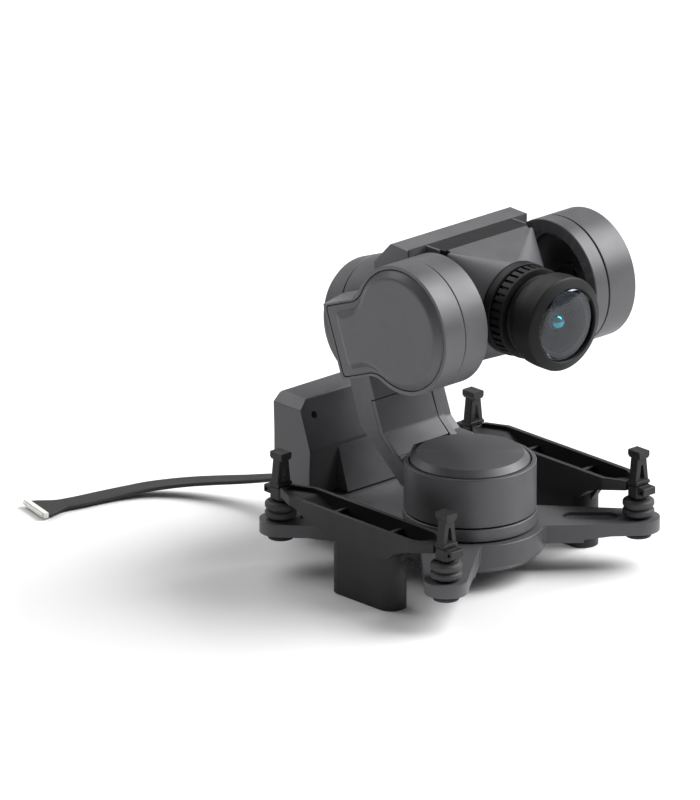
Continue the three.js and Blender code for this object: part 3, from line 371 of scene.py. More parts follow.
def prism(axis, outline, low, high, edge=0.0):
    """An outline swept along an axis, drawn in YZ, XZ or XY, with both ends' edges rounded."""
    build = bmesh.new()
    points = rounded(outline)
    ends = [[build.verts.new(drawing[axis](u, v, depth)) for u, v in points] for depth in (low, high)]
    caps = [build.faces.new(end) for end in ends]
    skin_between(build, *ends)
    if edge:
        rims = [rim for cap in caps for rim in cap.edges]
        softened(build, rims, edge)
    return mesh_of(build)


def block(x0, x1, y0, y1, z0, z1, edge=0.0):
    build = bmesh.new()
    size = Matrix.Diagonal((x1 - x0, y1 - y0, z1 - z0, 1))
    middle = Matrix.Translation(((x0 + x1) / 2, (y0 + y1) / 2, (z0 + z1) / 2))
    bmesh.ops.create_cube(build, size=1, matrix=middle @ size)
    if edge:
        softened(build, build.edges[:], edge)
    return mesh_of(build)


def hull(points):
    build = bmesh.new()
    for point in points:
        build.verts.new(point)
    bmesh.ops.convex_hull(build, input=build.verts[:])
    loose = [vertex for vertex in build.verts if not vertex.link_faces]
    bmesh.ops.delete(build, geom=loose, context="VERTS")
    bmesh.ops.dissolve_limit(build, angle_limit=0.002, verts=build.verts[:], edges=build.edges[:])
    return mesh_of(build)


def combined(operation, mesh, tools):
    """The mesh joined with, cut by or kept inside the tools, one after the other."""
    target = bpy.data.objects.new("target", mesh)
    helpers = [bpy.data.objects.new("tool", tool) for tool in tools]
    for thing in (target, *helpers):
        scene.collection.objects.link(thing)
    for helper in helpers:
        modifier = target.modifiers.new("boolean", "BOOLEAN")
        modifier.operation = operation
        modifier.solver = "MANIFOLD"
        modifier.object = helper
    bpy.context.view_layer.update()
    graph = bpy.context.evaluated_depsgraph_get()
    result = bpy.data.meshes.new_from_object(target.evaluated_get(graph))
    build = bmesh.new()
    build.from_mesh(result)
    split_large_faces(build)
    build.to_mesh(result)
    build.free()
    for thing in (target, *helpers):
        used = thing.data
        bpy.data.objects.remove(thing)
        bpy.data.meshes.remove(used)
    return result


def join(mesh, *tools):
    return combined("UNION", mesh, tools)


def cut(mesh, *tools):
    return combined("DIFFERENCE", mesh, tools)


def common(mesh, *tools):
    return combined("INTERSECT", mesh, tools)


def moved(mesh, matrix):
    mesh.transform(matrix)
    if matrix.is_negative:
        mesh.flip_normals()
    return mesh


def shifted(mesh, x, y, z):
    return moved(mesh, Matrix.Translation((x, y, z)))


def spun(mesh, axis, degrees):
    return moved(mesh, Matrix.Rotation(radians(degrees), 4, axis))


# ------------ pieces

slot_of = {part["node"]: part["material_slot"] for part in record["subparts"]}
body_of = {node: body for body, nodes in record["behaviour"]["bodies"].items() for node in nodes}
sharp_angle = radians(28)


def piece(node, mesh, place, material=None):
    """Shows a mesh in place of the CAD node, on its body and in its finish."""
    mesh = moved(mesh, Matrix.Scale(MM, 4) @ place)
    mesh.name = "fine_" + node
    mesh.materials.clear()
    mesh.materials.append(material or finishes[slot_of[node]])
    shown = bpy.data.objects.new("fine_" + node, mesh)
    scene.collection.objects.link(shown)
    mesh.shade_smooth()
    mesh.set_sharp_from_angle(angle=sharp_angle)
    normals = shown.modifiers.new("normals", "WEIGHTED_NORMAL")
    normals.keep_sharp = True
    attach(shown, body_of[node])
    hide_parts(node)
    return shown


def show(build, place):
    """Shows the piece that a function makes, for the node of the same name."""
    piece(build.__name__, build(), place)


# ------------ cable

cable_width = 3.8
cable_thickness = 0.9
strand_pitch = 0.62
strand_height = 0.07
sleeve_corners = 72
sleeve_squareness = 0.55
cable_route = [
    (-4, 35.9, 7), (-4.1, 40, 6.3), (-4.3, 44.3, 5.1), (-5.7, 49.5, 3.8), (-7.6, 54, 2.9),
    (-10, 57.9, 2.2), (-12.4, 60.6, 1.7), (-15, 62.7, 1.3), (-17.5, 64, 1), (-20, 65, 0.8),
    (-23.9, 66, 0.7), (-27.2, 66.6, 0.7), (-30, 67.3, 0.7),
]
tail_end = Vector((-34.6, 68.6, 0.7))


def curve_through(points, step):
    """Points about `step` apart on a centripetal Catmull-Rom curve through the given ones."""
    knots = [Vector(p) for p in points]
    knots = [2 * knots[0] - knots[1], *knots, 2 * knots[-1] - knots[-2]]
    line = []
    for p0, p1, p2, p3 in zip(knots, knots[1:], knots[2:], knots[3:]):
        t1 = (p1 - p0).length ** 0.5
        t2 = t1 + (p2 - p1).length ** 0.5
        t3 = t2 + (p3 - p2).length ** 0.5
        count = max(1, round((p2 - p1).length / step))
        for i in range(count):
            t = t1 + (t2 - t1) * i / count
            a = p0 + (p1 - p0) * (t / t1)
            b = p1 + (p2 - p1) * ((t - t1) / (t2 - t1))
            c = p2 + (p3 - p2) * ((t - t2) / (t3 - t2))
            d = a + (b - a) * (t / t2)
            e = b + (c - b) * ((t - t1) / (t3 - t1))
            line.append(d + (e - d) * ((t - t1) / (t2 - t1)))
    line.append(knots[-2])
    return line


def braid(along, across):
    """How far the strands of a diamond braid stand out at a place on the sleeve."""
    a = (along + across) / strand_pitch
    b = (along - across) / strand_pitch
    over = (floor(a) + floor(b)) % 2 == 0
    ridge, run = (b % 1, a % 1) if over else (a % 1, b % 1)
    crown = sqrt(max(0, 1 - (2 * ridge - 1) ** 2))
    return strand_height * crown * (0.55 + 0.45 * sin(pi * run)) - strand_height


def sleeve(line, widths, thicknesses):
    """A closed flat tube along a line, with the braid in its surface."""
    build = bmesh.new()
    rings = []
    along = 0.0
    for i, point in enumerate(line):
        ahead = line[min(i + 1, len(line) - 1)]
        behind = line[max(i - 1, 0)]
        forward = (ahead - behind).normalized()
        across = Vector((forward.y, -forward.x, 0)).normalized()
        up = across.cross(forward)
        if i:
            along += (point - line[i - 1]).length
        half = widths[i] / 2
        thin = thicknesses[i] / 2
        section = []
        for c, s in arc(0, 0, 1, 0, 2 * pi, sleeve_corners)[:-1]:
            flat = copysign(abs(c) ** sleeve_squareness, c)
            tall = copysign(abs(s) ** sleeve_squareness, s)
            rise = braid(along, flat * half + (strand_pitch / 2 if s < 0 else 0))
            side = across * flat * (half + rise * abs(c)) + up * tall * (thin + rise * (1 - 0.6 * abs(c)))
            section.append(build.verts.new(point + side))
        rings.append(section)
    for low, high in zip(rings, rings[1:]):
        skin_between(build, low, high)
    build.faces.new(rings[0])
    build.faces.new(rings[-1])
    return mesh_of(build)


cable_line = curve_through(cable_route, 0.14)
cable = piece(
    "cable",
    sleeve(cable_line, [cable_width] * len(cable_line), [cable_thickness] * len(cable_line)),
    base_place,
)

tail_start = Vector(cable_route[-1])
tail_steps = 36
shares = [i / tail_steps for i in range(tail_steps + 1)]
flares = [share * share * (3 - 2 * share) for share in shares]
tail_shape = sleeve(
    [tail_start.lerp(tail_end, share) for share in shares],
    [cable_width * (1 + 0.95 * flare) for flare in flares],
    [cable_thickness * (1 - 0.15 * flare) for flare in flares],
)
tail = piece("cable_tail", tail_shape, base_place)

tail_turn = Matrix.Rotation(atan2(tail_end.y - tail_start.y, tail_end.x - tail_start.x), 4, "Z")
contact_strip = join(
    block(0.02, 0.95, -cable_width - 0.05, cable_width + 0.05, 0.3, 1.25, 0.1),
    block(0.9, 1.2, -cable_width + 0.3, cable_width - 0.3, 0.5, 1.05, 0.05),
)
connector = piece(
    "cable_connector",
    contact_strip,
    base_place @ Matrix.Translation((tail_end.x, tail_end.y, 0)) @ tail_turn,
)

relief_low, relief_high = in_base("strain_relief")
relief_end = relief_high.y
relief_plan = symmetric([(2.9, relief_end - 1.4), (2.2, relief_end, 0.3)], (relief_low.x + relief_high.x) / 2)
relief_body = join(
    block(relief_low.x, relief_high.x, relief_low.y, relief_end - 1.2, relief_low.z, relief_high.z, 0.3),
    prism("z", relief_plan, relief_low.z + 0.4, relief_high.z - 0.3, 0.3),
)
relief = piece("strain_relief", relief_body, base_place)

# ------------ mount: rails, dampers, safety pins

damper_low, damper_high = in_base("damper_rear_right")
damper_x = (damper_low.x + damper_high.x) / 2
rear_row = (damper_low.y + damper_high.y) / 2
front_row = sum(corner.y for corner in in_base("damper_front_right")) / 2
plate_top = in_base("base_plate")[1].z
rail_top = in_base("right_rail")[1].z
collar_low = rail_top - 2.55
collar_high = rail_top - 0.35
leg_length = 15.2
leg_width = 5.2
leg_y = 0.8
rail_half = 3.25
rail_wall = 0.8
collar_half = 1.5
pin_radius = 0.9
damper_bore = 1.2


def stadium(length, width, centre_u, centre_v):
    straight = (length - width) / 2
    ends = arc(centre_u, centre_v + straight, width / 2, 0, pi, 20)
    return ends + arc(centre_u, centre_v - straight, width / 2, pi, 2 * pi, 20)


def rail_belly(lift, top):
    """The underside of a rail's walls in YZ, raised by lift and closed above the rail."""
    front = front_row + collar_half - lift
    rear = rear_row - collar_half + lift
    leg_front = leg_y - leg_length / 2
    leg_rear = leg_y + leg_length / 2
    end = rail_top - 1.6 + lift
    low = plate_top + 1.2 + lift
    return [
        (front, top), (front, end), (leg_front - 4.9, end - 0.6, 1.5),
        (leg_front - 1.9, end - 1.6, 1.5), (leg_front + 0.3, low, 1.2), (leg_rear - 2.2, low, 1.2),
        (leg_rear - 0.8, end - 2.7, 2), (leg_rear + 4.4, end - 1.4, 3), (leg_rear + 7.6, end, 3),
        (rear, end), (rear, top),
    ]


def rail_plan(inset):
    half = rail_half - inset
    tip = max(collar_half - inset, 0.25)
    front = front_row + collar_half
    rear = rear_row - collar_half
    draw_in = 4
    soft = 0.8
    right = [(tip, front), (half, front + draw_in, soft), (half, rear - draw_in, soft), (tip, rear)]
    return symmetric(right, damper_x)


def collar(y, outward):
    """The chamfered square at a rail's end, round the damper, with its lug."""
    half = collar_half
    flat = half - 0.55
    right = [(flat, y - half), (half, y - flat), (half, y + flat), (flat, y + half)]
    low = prism("z", symmetric(right, damper_x), collar_low, collar_high, 0.18)
    near, far = sorted((y + outward * (half - 0.4), y + outward * (half + 1.2)))
    lug = block(damper_x - 1.4, damper_x + 1.4, near, far, collar_low + 0.8, collar_high - 0.05, 0.18)
    eye = shifted(bar("x", 0.35, -2, 2, 0, 24), damper_x, y + outward * (half + 0.6), collar_high - 0.75)
    return cut(join(low, lug), eye)


def rail(side):
    top = rail_top + 1
    wide = rail_half + 1
    shell = common(
        prism("z", rail_plan(0), 0, rail_top, 0.12),
        prism("x", rail_belly(0, top), damper_x - wide, damper_x + wide),
    )
    trough = common(
        prism("z", rail_plan(rail_wall), 0, top),
        prism("x", rail_belly(0.9, top), damper_x - wide, damper_x + wide),
    )
    leg_front = leg_y - leg_length / 2
    leg = prism("z", stadium(leg_length, leg_width, damper_x, leg_y), 0, plate_top + 1.65, 0.25)
    gusset_side = [
        (leg_front + 1, plate_top + 1.6), (leg_front - 1.5, plate_top + 2.3),
        (leg_front + 1, plate_top - 1.2),
    ]
    gusset = prism("x", gusset_side, damper_x - 0.6, damper_x + 0.6, 0.1)
    ribs = []
    half = rail_half - rail_wall / 2
    for share in (1 / 3, 2 / 3):
        y = front_row + share * (rear_row - front_row)
        rib = block(-half, half, -0.35, 0.35, rail_top - 3, rail_top - 1.3, 0.12)
        ribs.append(shifted(rib, damper_x, y, 0))
    body = join(cut(shell, trough), leg, gusset, *ribs, collar(front_row, -1), collar(rear_row, 1))
    holes = []
    for y in (front_row, rear_row):
        holes.append(upright(pin_radius + 0.3, damper_x, y, collar_low - 1, top, 32))
    for end in (-1, 1):
        holes.append(upright(0.8, damper_x, leg_y + end * leg_length / 3, -1, 6, 32))
    body = cut(body, *holes)
    return moved(body, Matrix.Diagonal((side, 1, 1, 1)))


piece("right_rail", rail(1), base_place)
piece("left_rail", rail(-1), base_place)


def damper():
    """A hollow rubber damper of two stacked bulges, standing on zero."""
    height = damper_high.z - damper_low.z
    radius = (damper_high.x - damper_low.x) / 2
    bulge = radius * 0.99
    profile = [
        (damper_bore, 0), (0.78 * radius, 0, 0.15), (bulge, 0.1 * height, 0.45),
        (bulge, 0.4 * height, 0.45), (0.72 * radius, 0.5 * height, 0.12),
        (bulge, 0.6 * height, 0.45), (bulge, 0.9 * height, 0.45), (0.78 * radius, height, 0.15),
        (damper_bore, height),
    ]
    return turned("z", profile, 96)


def safety_pin():
    """A flange under the plate, a shaft through the damper and a windowed tower, from the collar's top."""
    pin_low, pin_high = in_base("safety_pin_rear_right")
    top = pin_high.z - collar_high
    under = pin_low.z - collar_high
    shoulder = top - 1.25

    def plate(half, depth, edge):
        return prism("y", symmetric(half), -depth, depth, edge)

    tower = plate([(1.55, 0.3), (1.04, shoulder)], 0.85, 0.16)
    foot = plate([(1.6, 0.12), (1.6, 0.45), (1.5, 0.75)], 1.15, 0.1)
    head = plate([(1.0, shoulder - 0.1), (1.15, shoulder + 0.3, 0.1), (1.15, top, 0.2)], 1.4, 0.2)
    window = plate([(0.6, 1.0, 0.12), (0.2, shoulder - 1.3, 0.15)], 3, 0)
    shaft = bar("z", pin_radius, under + 0.3, 0.6, 0, 40)
    flange = bar("z", 2.2, under, under + 0.6, 0.15, 48)
    return join(cut(join(tower, foot, head), window), shaft, flange)


stands = {"damper": (damper(), damper_low.z), "safety_pin": (safety_pin(), collar_high)}
for end, row in (("front", front_row), ("rear", rear_row)):
    for side, x in (("left", -damper_x), ("right", damper_x)):
        for name, (shape, foot) in stands.items():
            lift = Matrix.Translation((x, row, foot))
            piece(f"{name}_{end}_{side}", shape.copy(), base_place @ lift)

# ------------ base plate

gap = 0.3
half_seam = gap / 2
stator_low, stator_high = in_base("yaw_stator_housing")
stator_radius = stator_high.x
hub_radius = stator_radius + 1.3
hub_low = in_base("base_plate")[0].z
lobe_radius = 3.6
lobe_low = plate_top - 2.2
plate_low = plate_top - 3.2
housing_low, housing_high = in_base("rear_housing")
housing_half = housing_high.x
arm_root_half = 4.9
front_root = Matrix.Rotation(radians(-31), 2) @ Vector((0.98 * hub_radius, 0))
rear_root = Vector((housing_half - 2, rear_row - 10))
front_lobe = Vector((damper_x, front_row))
rear_lobe = Vector((damper_x, rear_row))


def arm_edges(root, lobe):
    """The two edges of a tapered arm, each from its root to its lobe, the right-hand one first."""
    forward = (lobe - root).normalized()
    left = Vector((-forward.y, forward.x))
    return [(root + side * arm_root_half * left, lobe + side * lobe_radius * left) for side in (-1, 1)]


def on_circle(edge, radius):
    """Where an arm's edge, drawn back past its root, meets the hub."""
    root, lobe = edge
    forward = (lobe - root).normalized()
    along = lobe.dot(forward)
    off = (lobe - along * forward).length
    return lobe + (sqrt(radius**2 - off**2) - along) * forward


def on_side(edge, x):
    """Where an arm's edge, drawn back past its root, meets the tongue's side."""
    root, lobe = edge
    return lobe + (root - lobe) * ((x - lobe.x) / (root.x - lobe.x))


def lobe_arc(root, lobe):
    heading = atan2(lobe.y - root.y, lobe.x - root.x)
    return arc(lobe.x, lobe.y, lobe_radius, heading - pi / 2, heading + pi / 2, 28)


def plate_plan():
    """The plate's plan: hub, four arms with their lobes, and the tongue under the rear housing."""
    inner = hub_radius - 0.12
    right, left = arm_edges(front_root, front_lobe)
    enter = on_circle(right, inner)
    leave = on_circle(left, inner)
    enter_angle = atan2(enter.y, enter.x)
    clear = radians(8)
    half = arc(0, 0, inner, -pi / 2, enter_angle - clear, 16)
    half.append((enter.x, enter.y, 1))
    half += lobe_arc(front_root, front_lobe)
    half.append((leave.x, leave.y, 1))
    half.append((housing_half, 1.6, 0.5))
    right, left = (on_side(edge, housing_half) for edge in arm_edges(rear_root, rear_lobe))
    half.append((right.x, right.y, 2))
    half += lobe_arc(rear_root, rear_lobe)
    half.append((left.x, left.y, 2))
    half.append((housing_half, housing_high.y, 0.8))
    mirrored = [(-point[0], *point[1:]) for point in half[:0:-1]]
    return half + mirrored


def arm_place(root, lobe):
    turn = Matrix.Rotation(atan2(lobe.y - root.y, lobe.x - root.x), 4, "Z")
    return Matrix.Translation((root.x, root.y, 0)) @ turn


def base_plate():
    bevel = 1.2
    hub_profile = [
        (0, hub_low), (hub_radius - bevel, hub_low, 0.4), (hub_radius, hub_low + bevel, 0.4),
        (hub_radius, plate_top, 0.3), (0, plate_top),
    ]
    hub = turned("z", hub_profile)
    plate = prism("z", plate_plan(), plate_low, plate_top, 0.22)
    cuts = []
    for root, lobe in ((front_root, front_lobe), (rear_root, rear_lobe)):
        reach = (lobe - root).length
        thinner = [
            (0.15 * reach, plate_low), (0.72 * reach, lobe_low), (reach + 6, lobe_low),
            (reach + 6, plate_low - 1), (0.15 * reach, plate_low - 1),
        ]
        wedge = prism("y", thinner, -8, 8)
        outside = block(housing_half + 0.02, 40, -40, 40, 0, plate_top)
        wedge = common(moved(wedge, arm_place(root, lobe)), outside)
        pocket = spun(prism("z", stadium(9, 3.3, 0, 0), plate_top - 0.45, plate_top + 1, 0.12), "Z", 90)
        lip = spun(prism("z", stadium(9.3, 3.6, 0, 0), plate_top - 0.12, plate_top + 1), "Z", 90)
        for tool in (pocket, lip):
            shifted(tool, 0.5 * reach, 0, 0)
            moved(tool, arm_place(root, lobe))
        for tool in (wedge, pocket, lip):
            cuts.append(moved(tool.copy(), Matrix.Diagonal((-1, 1, 1, 1))))
            cuts.append(tool)
        for x in (-lobe.x, lobe.x):
            cuts.append(upright(pin_radius + 0.6, x, lobe.y, 0, 20, 40))
    plate = cut(plate, *cuts)
    body = join(plate, hub)
    holes = [bar("z", 2.4, 0, 20, 0, 48)]
    tops = {f"hub_screw_{i}": hub_low + 1.9 for i in (1, 2, 3)}
    tops |= {f"housing_screw_{side}": plate_low + 1.6 for side in ("left", "right")}
    for screw_node, top in tops.items():
        place = centre_of(in_base(screw_node))
        holes.append(upright(1.8, place.x, place.y, 0, top, 48))
    near, far = relief_low.x - gap, relief_high.x + gap
    notch = block(near, far, relief_low.y - gap, housing_high.y + 1, 0, plate_top + 1)
    return cut(body, *holes, notch)


show(base_plate, base_place)

# ------------ rear housing


def housing_side(inset):
    """The housing's side outline in YZ, drawn in by inset."""
    front = housing_front_y + inset
    rear = housing_high.y - inset
    top = housing_high.z - inset
    lean = 2.9
    knee = (housing_low.z + housing_high.z) / 2
    foot = housing_low.z - (1 if inset else 0)
    return [(front, foot), (rear, foot), (rear, top, 0.5), (front + lean, top, 0.5), (front, knee, 1.2)]


def housing_front(inset):
    """The housing's front outline in XZ, drawn in by inset."""
    half = housing_half - inset
    top = housing_high.z - inset
    return symmetric([(half, housing_low.z - 2), (half, top - 1.6, 0.25), (half - 1.8, top, 0.25)])


housing_front_y = housing_high.y - 8.9
housing_wall = 1.2


def rear_housing():
    outer = common(
        prism("x", housing_side(0), -housing_half, housing_half, 0.35),
        prism("y", housing_front(0), housing_front_y - 1, housing_high.y, 0.3),
    )
    room = common(
        prism("x", housing_side(housing_wall), -housing_half + housing_wall, housing_half - housing_wall),
        prism("y", housing_front(housing_wall), housing_front_y - 1, housing_high.y + 1),
    )
    foot = housing_low.z
    buttress_side = [
        (housing_front_y + 0.4, foot), (housing_front_y + 0.4, foot + 8),
        (housing_front_y - 0.02, foot + 7.6, 0.2), (housing_front_y - 2.4, foot, 0.1),
    ]
    buttress = prism("x", buttress_side, -6, 6, 0.16)
    vent_place = (-housing_half + 2.8, housing_front_y + 1.9, housing_high.z - 2.8)
    vent = shifted(bar("y", 0.6, -3, 2, 0, 40), *vent_place)
    past = housing_half + 1
    groove = block(-past, past, housing_high.y - 0.25, housing_high.y + 1, foot + 2.2, foot + 2.5)
    return cut(join(cut(outer, room), buttress), vent, groove)


show(rear_housing, base_place)

# ------------ yaw motor and arm

can_wall = 1.1
cap_low, cap_high = in_base("yaw_cap")
cap_radius = cap_high.x
yaw_lip = 0.75
yaw_radius = cap_radius + yaw_lip + gap
yaw_plate_top = cap_low.z - gap
yaw_can_top = cap_high.z - 1.1
yaw_under = yaw_plate_top - 1.2
yaw_rim = in_base("yaw_arm")[0].z
tube_bore = 2.4


def yaw_stator_housing():
    foot = stator_low.z
    level = foot + 1
    rim = yaw_rim - gap
    profile = [
        (tube_bore, foot), (stator_radius, foot, 0.12), (stator_radius, rim, 0.22),
        (stator_radius - 1.2, rim), (stator_radius - 1.2, level), (tube_bore, level),
    ]
    return join(turned("z", profile), ring("z", tube_bore, tube_bore + 1, foot, stator_high.z, 0, 64))


show(yaw_stator_housing, base_place)

roll_tilt = asin(-roll_back.z)
roll_radius = 11
roll_rear = 31.4
roll_seam = 27.15
roll_front = 20.5
roll_plate = 1.5
arm_half = 8.6
arm_thickness = 5.2
arm_slope = radians(40.3)
arm_lower = 3.5
arm_skin = 0.9
arm_front = roll_rear - arm_thickness
arm_root_y = yaw_radius - 1.9
arm_seam_x = 3.9
flank_x = arm_seam_x + 1.4
flank_depth = 2.2
cover_top = -roll_radius - 1.2
base_to_roll = base_place.inverted() @ roll_place


def from_roll(along, up):
    """A point of the roll frame's YZ plane measured from the yaw axis."""
    point = base_to_roll @ Vector((0, along, up))
    return Vector((point.y, point.z))


def fold_point(y, z, along):
    """Where the slope through (y, z) meets the plane square to the roll axis at `along`."""
    foot = from_roll(along, 0)
    rise = tan(arm_slope)
    up = (foot.y - z - rise * (foot.x - y)) / (rise * sin(roll_tilt) - cos(roll_tilt))
    return from_roll(along, up)


def yaw_arm_side(skin, top):
    """The yaw arm's side outline in YZ, its front faces drawn back by skin."""
    soft = 1.2
    rise = tan(arm_slope)
    root_z = cap_high.z - 0.1 - skin / cos(arm_slope)
    rear_z = root_z - (arm_lower - skin) / cos(arm_slope)
    buried = yaw_plate_top - 0.3
    foot = yaw_under - 2.5
    rear_fold = fold_point(arm_root_y, rear_z, roll_rear)
    return [
        (arm_root_y - (root_z - buried) / rise, buried),
        (*fold_point(arm_root_y, root_z, arm_front + skin), soft),
        tuple(from_roll(arm_front + skin, top)),
        tuple(from_roll(roll_rear, top)),
        (*rear_fold, soft), (arm_root_y + (foot - rear_z) / rise, foot),
        (arm_root_y - arm_lower, foot),
    ]


def all_below(top):
    return block(-20, 20, -40, 40, 0, top)


def in_roll_frame(mesh):
    return moved(mesh, base_to_roll)


def yaw_arm():
    bore = yaw_radius - can_wall
    can_profile = [
        (0, yaw_under), (bore, yaw_under), (bore, yaw_rim), (yaw_radius, yaw_rim, 0.12),
        (yaw_radius, yaw_can_top, 0.25), (yaw_radius - yaw_lip, yaw_can_top, 0.1),
        (yaw_radius - yaw_lip, yaw_plate_top), (0, yaw_plate_top),
    ]
    can = turned("z", can_profile)
    arm = prism("x", yaw_arm_side(0, -0.4 * roll_radius), -arm_half, arm_half, 0.3)
    seat = cut(
        prism("x", yaw_arm_side(-1, cover_top + 0.15), -arm_half - 1, arm_seam_x + 0.1),
        prism("x", yaw_arm_side(arm_skin + 0.1, cover_top + 2), -arm_half - 2, arm_half + 2),
        all_below(yaw_can_top + 0.2),
    )
    flank = cut(
        prism("x", yaw_arm_side(-1, -0.3 * roll_radius), flank_x, arm_half + 1),
        prism("x", yaw_arm_side(flank_depth, 0), flank_x - 1, arm_half + 2),
        all_below(yaw_can_top + 0.2),
    )
    rotor_room = in_roll_frame(bar("y", roll_radius + gap, 0, roll_seam + half_seam, 0, 128))
    motor_room = in_roll_frame(bar("y", roll_radius - can_wall, 0, roll_rear - roll_plate, 0, 128))
    yaw_room = bar("z", bore, 0, yaw_under, 0, 128)
    arm = cut(arm, seat, flank, rotor_room, motor_room, yaw_room)
    cup_profile = [
        (0, roll_rear - roll_plate), (roll_radius - can_wall, roll_rear - roll_plate),
        (roll_radius - can_wall, roll_seam + half_seam), (roll_radius, roll_seam + half_seam, 0.12),
        (roll_radius, roll_rear, 0.2), (0, roll_rear),
    ]
    return join(arm, can, in_roll_frame(turned("y", cup_profile)))


show(yaw_arm, base_place)


def yaw_arm_cover():
    slab = prism("x", yaw_arm_side(0, cover_top), -arm_half, arm_seam_x - 0.1, 0.2)
    inner = prism("x", yaw_arm_side(arm_skin, cover_top + 2), -arm_half - 2, arm_half + 2)
    beside_cap = bar("z", cap_radius + 0.1, 0, cap_high.z - 0.1, 0, 128)
    return cut(slab, inner, all_below(yaw_can_top + 0.25), beside_cap)


show(yaw_arm_cover, base_place)


def yaw_cap():
    profile = [
        (0, cap_low.z), (cap_radius, cap_low.z), (cap_radius, yaw_can_top + 0.05, 0.12),
        (cap_radius - 1.0, cap_high.z, 0.12), (0, cap_high.z),
    ]
    clear = 0.15
    room = prism("x", yaw_arm_side(-clear, 0), -arm_half - clear, arm_half + clear)
    return cut(turned("z", profile), room)


show(yaw_cap, base_place)


def roll_end_cap():
    near = roll_rear + gap
    profile = [
        (0, near), (roll_radius - 0.4, near), (roll_radius - 0.4, near + 0.35, 0.12),
        (roll_radius - 1.3, near + 1.05, 0.3), (2.6, near + 1.05, 0.1), (2.4, near + 0.75, 0.1),
        (0, near + 0.75),
    ]
    return turned("y", profile)


show(roll_end_cap, roll_place)

# ------------ roll arm

pitch_radius = 11
roll_arm_outer = -in_camera("roll_arm")[0].x
roll_arm_inner = roll_arm_outer - 4.3
neck_half = 6.5
neck_fillet = 5
elbow = 17.5
cover_radius = pitch_radius - 0.8
cover_half = neck_half - 0.5
cover_end = elbow - 0.7
cover_seat = roll_arm_outer - 0.8
pitch_floor = roll_arm_outer - 1.5
pitch_plate_x = in_camera("camera_bracket")[1].x - 2.9


def necked_disc(radius, half, end, fillet, soft=0.0):
    """A disc with a neck that runs back along the roll axis, drawn in YZ of the roll frame."""
    up = half + fillet
    along = sqrt((radius + fillet) ** 2 - up**2)
    angle = atan2(up, along)
    corner = arc(end - soft, half - soft, soft, 0, pi / 2, 5) if soft else [(end, half)]
    outline = list(corner)
    outline += arc(along, up, fillet, -pi / 2, angle - pi, 14)
    outline += arc(0, 0, radius, angle, 2 * pi - angle, 96)[1:-1]
    outline += arc(along, -up, fillet, pi - angle, pi / 2, 14)
    outline += [(u, -v) for u, v in reversed(corner)]
    return outline


def lofted(stations):
    """A solid through like outlines drawn in YZ, each at its own x."""
    build = bmesh.new()
    rings = [[build.verts.new((x, u, v)) for u, v in outline] for outline, x in stations]
    for low, high in zip(rings, rings[1:]):
        skin_between(build, low, high)
    build.faces.new(rings[0])
    build.faces.new(rings[-1])
    return mesh_of(build)


def roll_arm():
    outline = necked_disc(pitch_radius, neck_half, elbow, neck_fillet, 0.5)
    disc = prism("x", outline, -roll_arm_outer, -roll_arm_inner, 0.28)
    rear_x = roll_radius - 1.2
    shoulder = roll_seam - half_seam - 0.9
    inner_elbow = elbow - 3
    link_plan = [
        (-roll_arm_outer, inner_elbow - 1), (-roll_arm_inner, inner_elbow - 1),
        (-roll_arm_inner, inner_elbow, 1), (-rear_x + 0.7, roll_front), (-rear_x + 4, roll_front),
        (-rear_x + 4, shoulder), (-rear_x, shoulder, 0.8), (-roll_arm_outer, elbow, 0.5),
    ]
    link = prism("z", link_plan, -neck_half, neck_half, 0.3)
    rotor_profile = [
        (0, roll_front), (roll_radius, roll_front, 0.3), (roll_radius, roll_seam - half_seam, 0.12),
        (0, roll_seam - half_seam),
    ]
    clear = 0.16
    outline = necked_disc(cover_radius + clear, cover_half + clear, cover_end + clear, neck_fillet, 0.7)
    seat = prism("x", outline, -30, -cover_seat)
    return cut(
        join(disc, link, turned("y", rotor_profile)),
        bar("y", roll_radius - can_wall, roll_front + roll_plate, roll_rear, 0, 128),
        bar("x", pitch_radius - can_wall, -pitch_floor, -roll_arm_inner + 1, 0, 128),
        seat,
    )


show(roll_arm, roll_place)


def roll_arm_cover():
    """A flush panel with a raised round plateau and a short neck."""
    rim = roll_arm_outer - 0.02
    plateau_half = 4.9
    plateau_end = cover_end - 1.9
    stations = []
    for inset, x in ((0, cover_seat + gap), (0, rim - 0.1), (0.03, rim - 0.03), (0.1, rim)):
        outline = necked_disc(cover_radius - inset, cover_half - inset, cover_end - inset, neck_fillet, 0.6)
        stations.append((outline, -x))
    for inset, rise in ((0, 0.01), (0.06, 0.1), (0.9, 0.84), (1.15, 0.96), (1.5, 1)):
        half = plateau_half - 0.9 * inset
        outline = necked_disc(cover_radius - 0.15 - inset, half, plateau_end - inset, neck_fillet, 0.9)
        stations.append((outline, -rim - rise))
    return lofted(stations)


show(roll_arm_cover, roll_place)

# ------------ bracket, balance can and camera body

camera_half = 10
camera_tall = 10.3
bracket_front = 6.8
bracket_rear = 15
bracket_wall = 1.3
pitch_seam = roll_arm_inner - half_seam
plate_inner = pitch_plate_x + 1.3
balance_low, balance_high = in_camera("balance_cap")
balance_seam = balance_low.x - half_seam
balance_bore = 8.3


def bracket_side(inset):
    """The bracket's outline in YZ about the pitch axis, drawn in by inset."""
    soft = 0.35
    top = camera_tall - inset
    rear = bracket_rear - inset
    chamfer = 3.9
    draw = inset * 0.45
    return [
        (bracket_front - inset, top), (rear - chamfer + draw, top, soft),
        (rear, top - chamfer - 0.2 + draw, soft), (rear, -top + chamfer + 0.2 - draw, soft),
        (rear - chamfer + draw, -top, soft), (bracket_front - inset, -top),
    ]


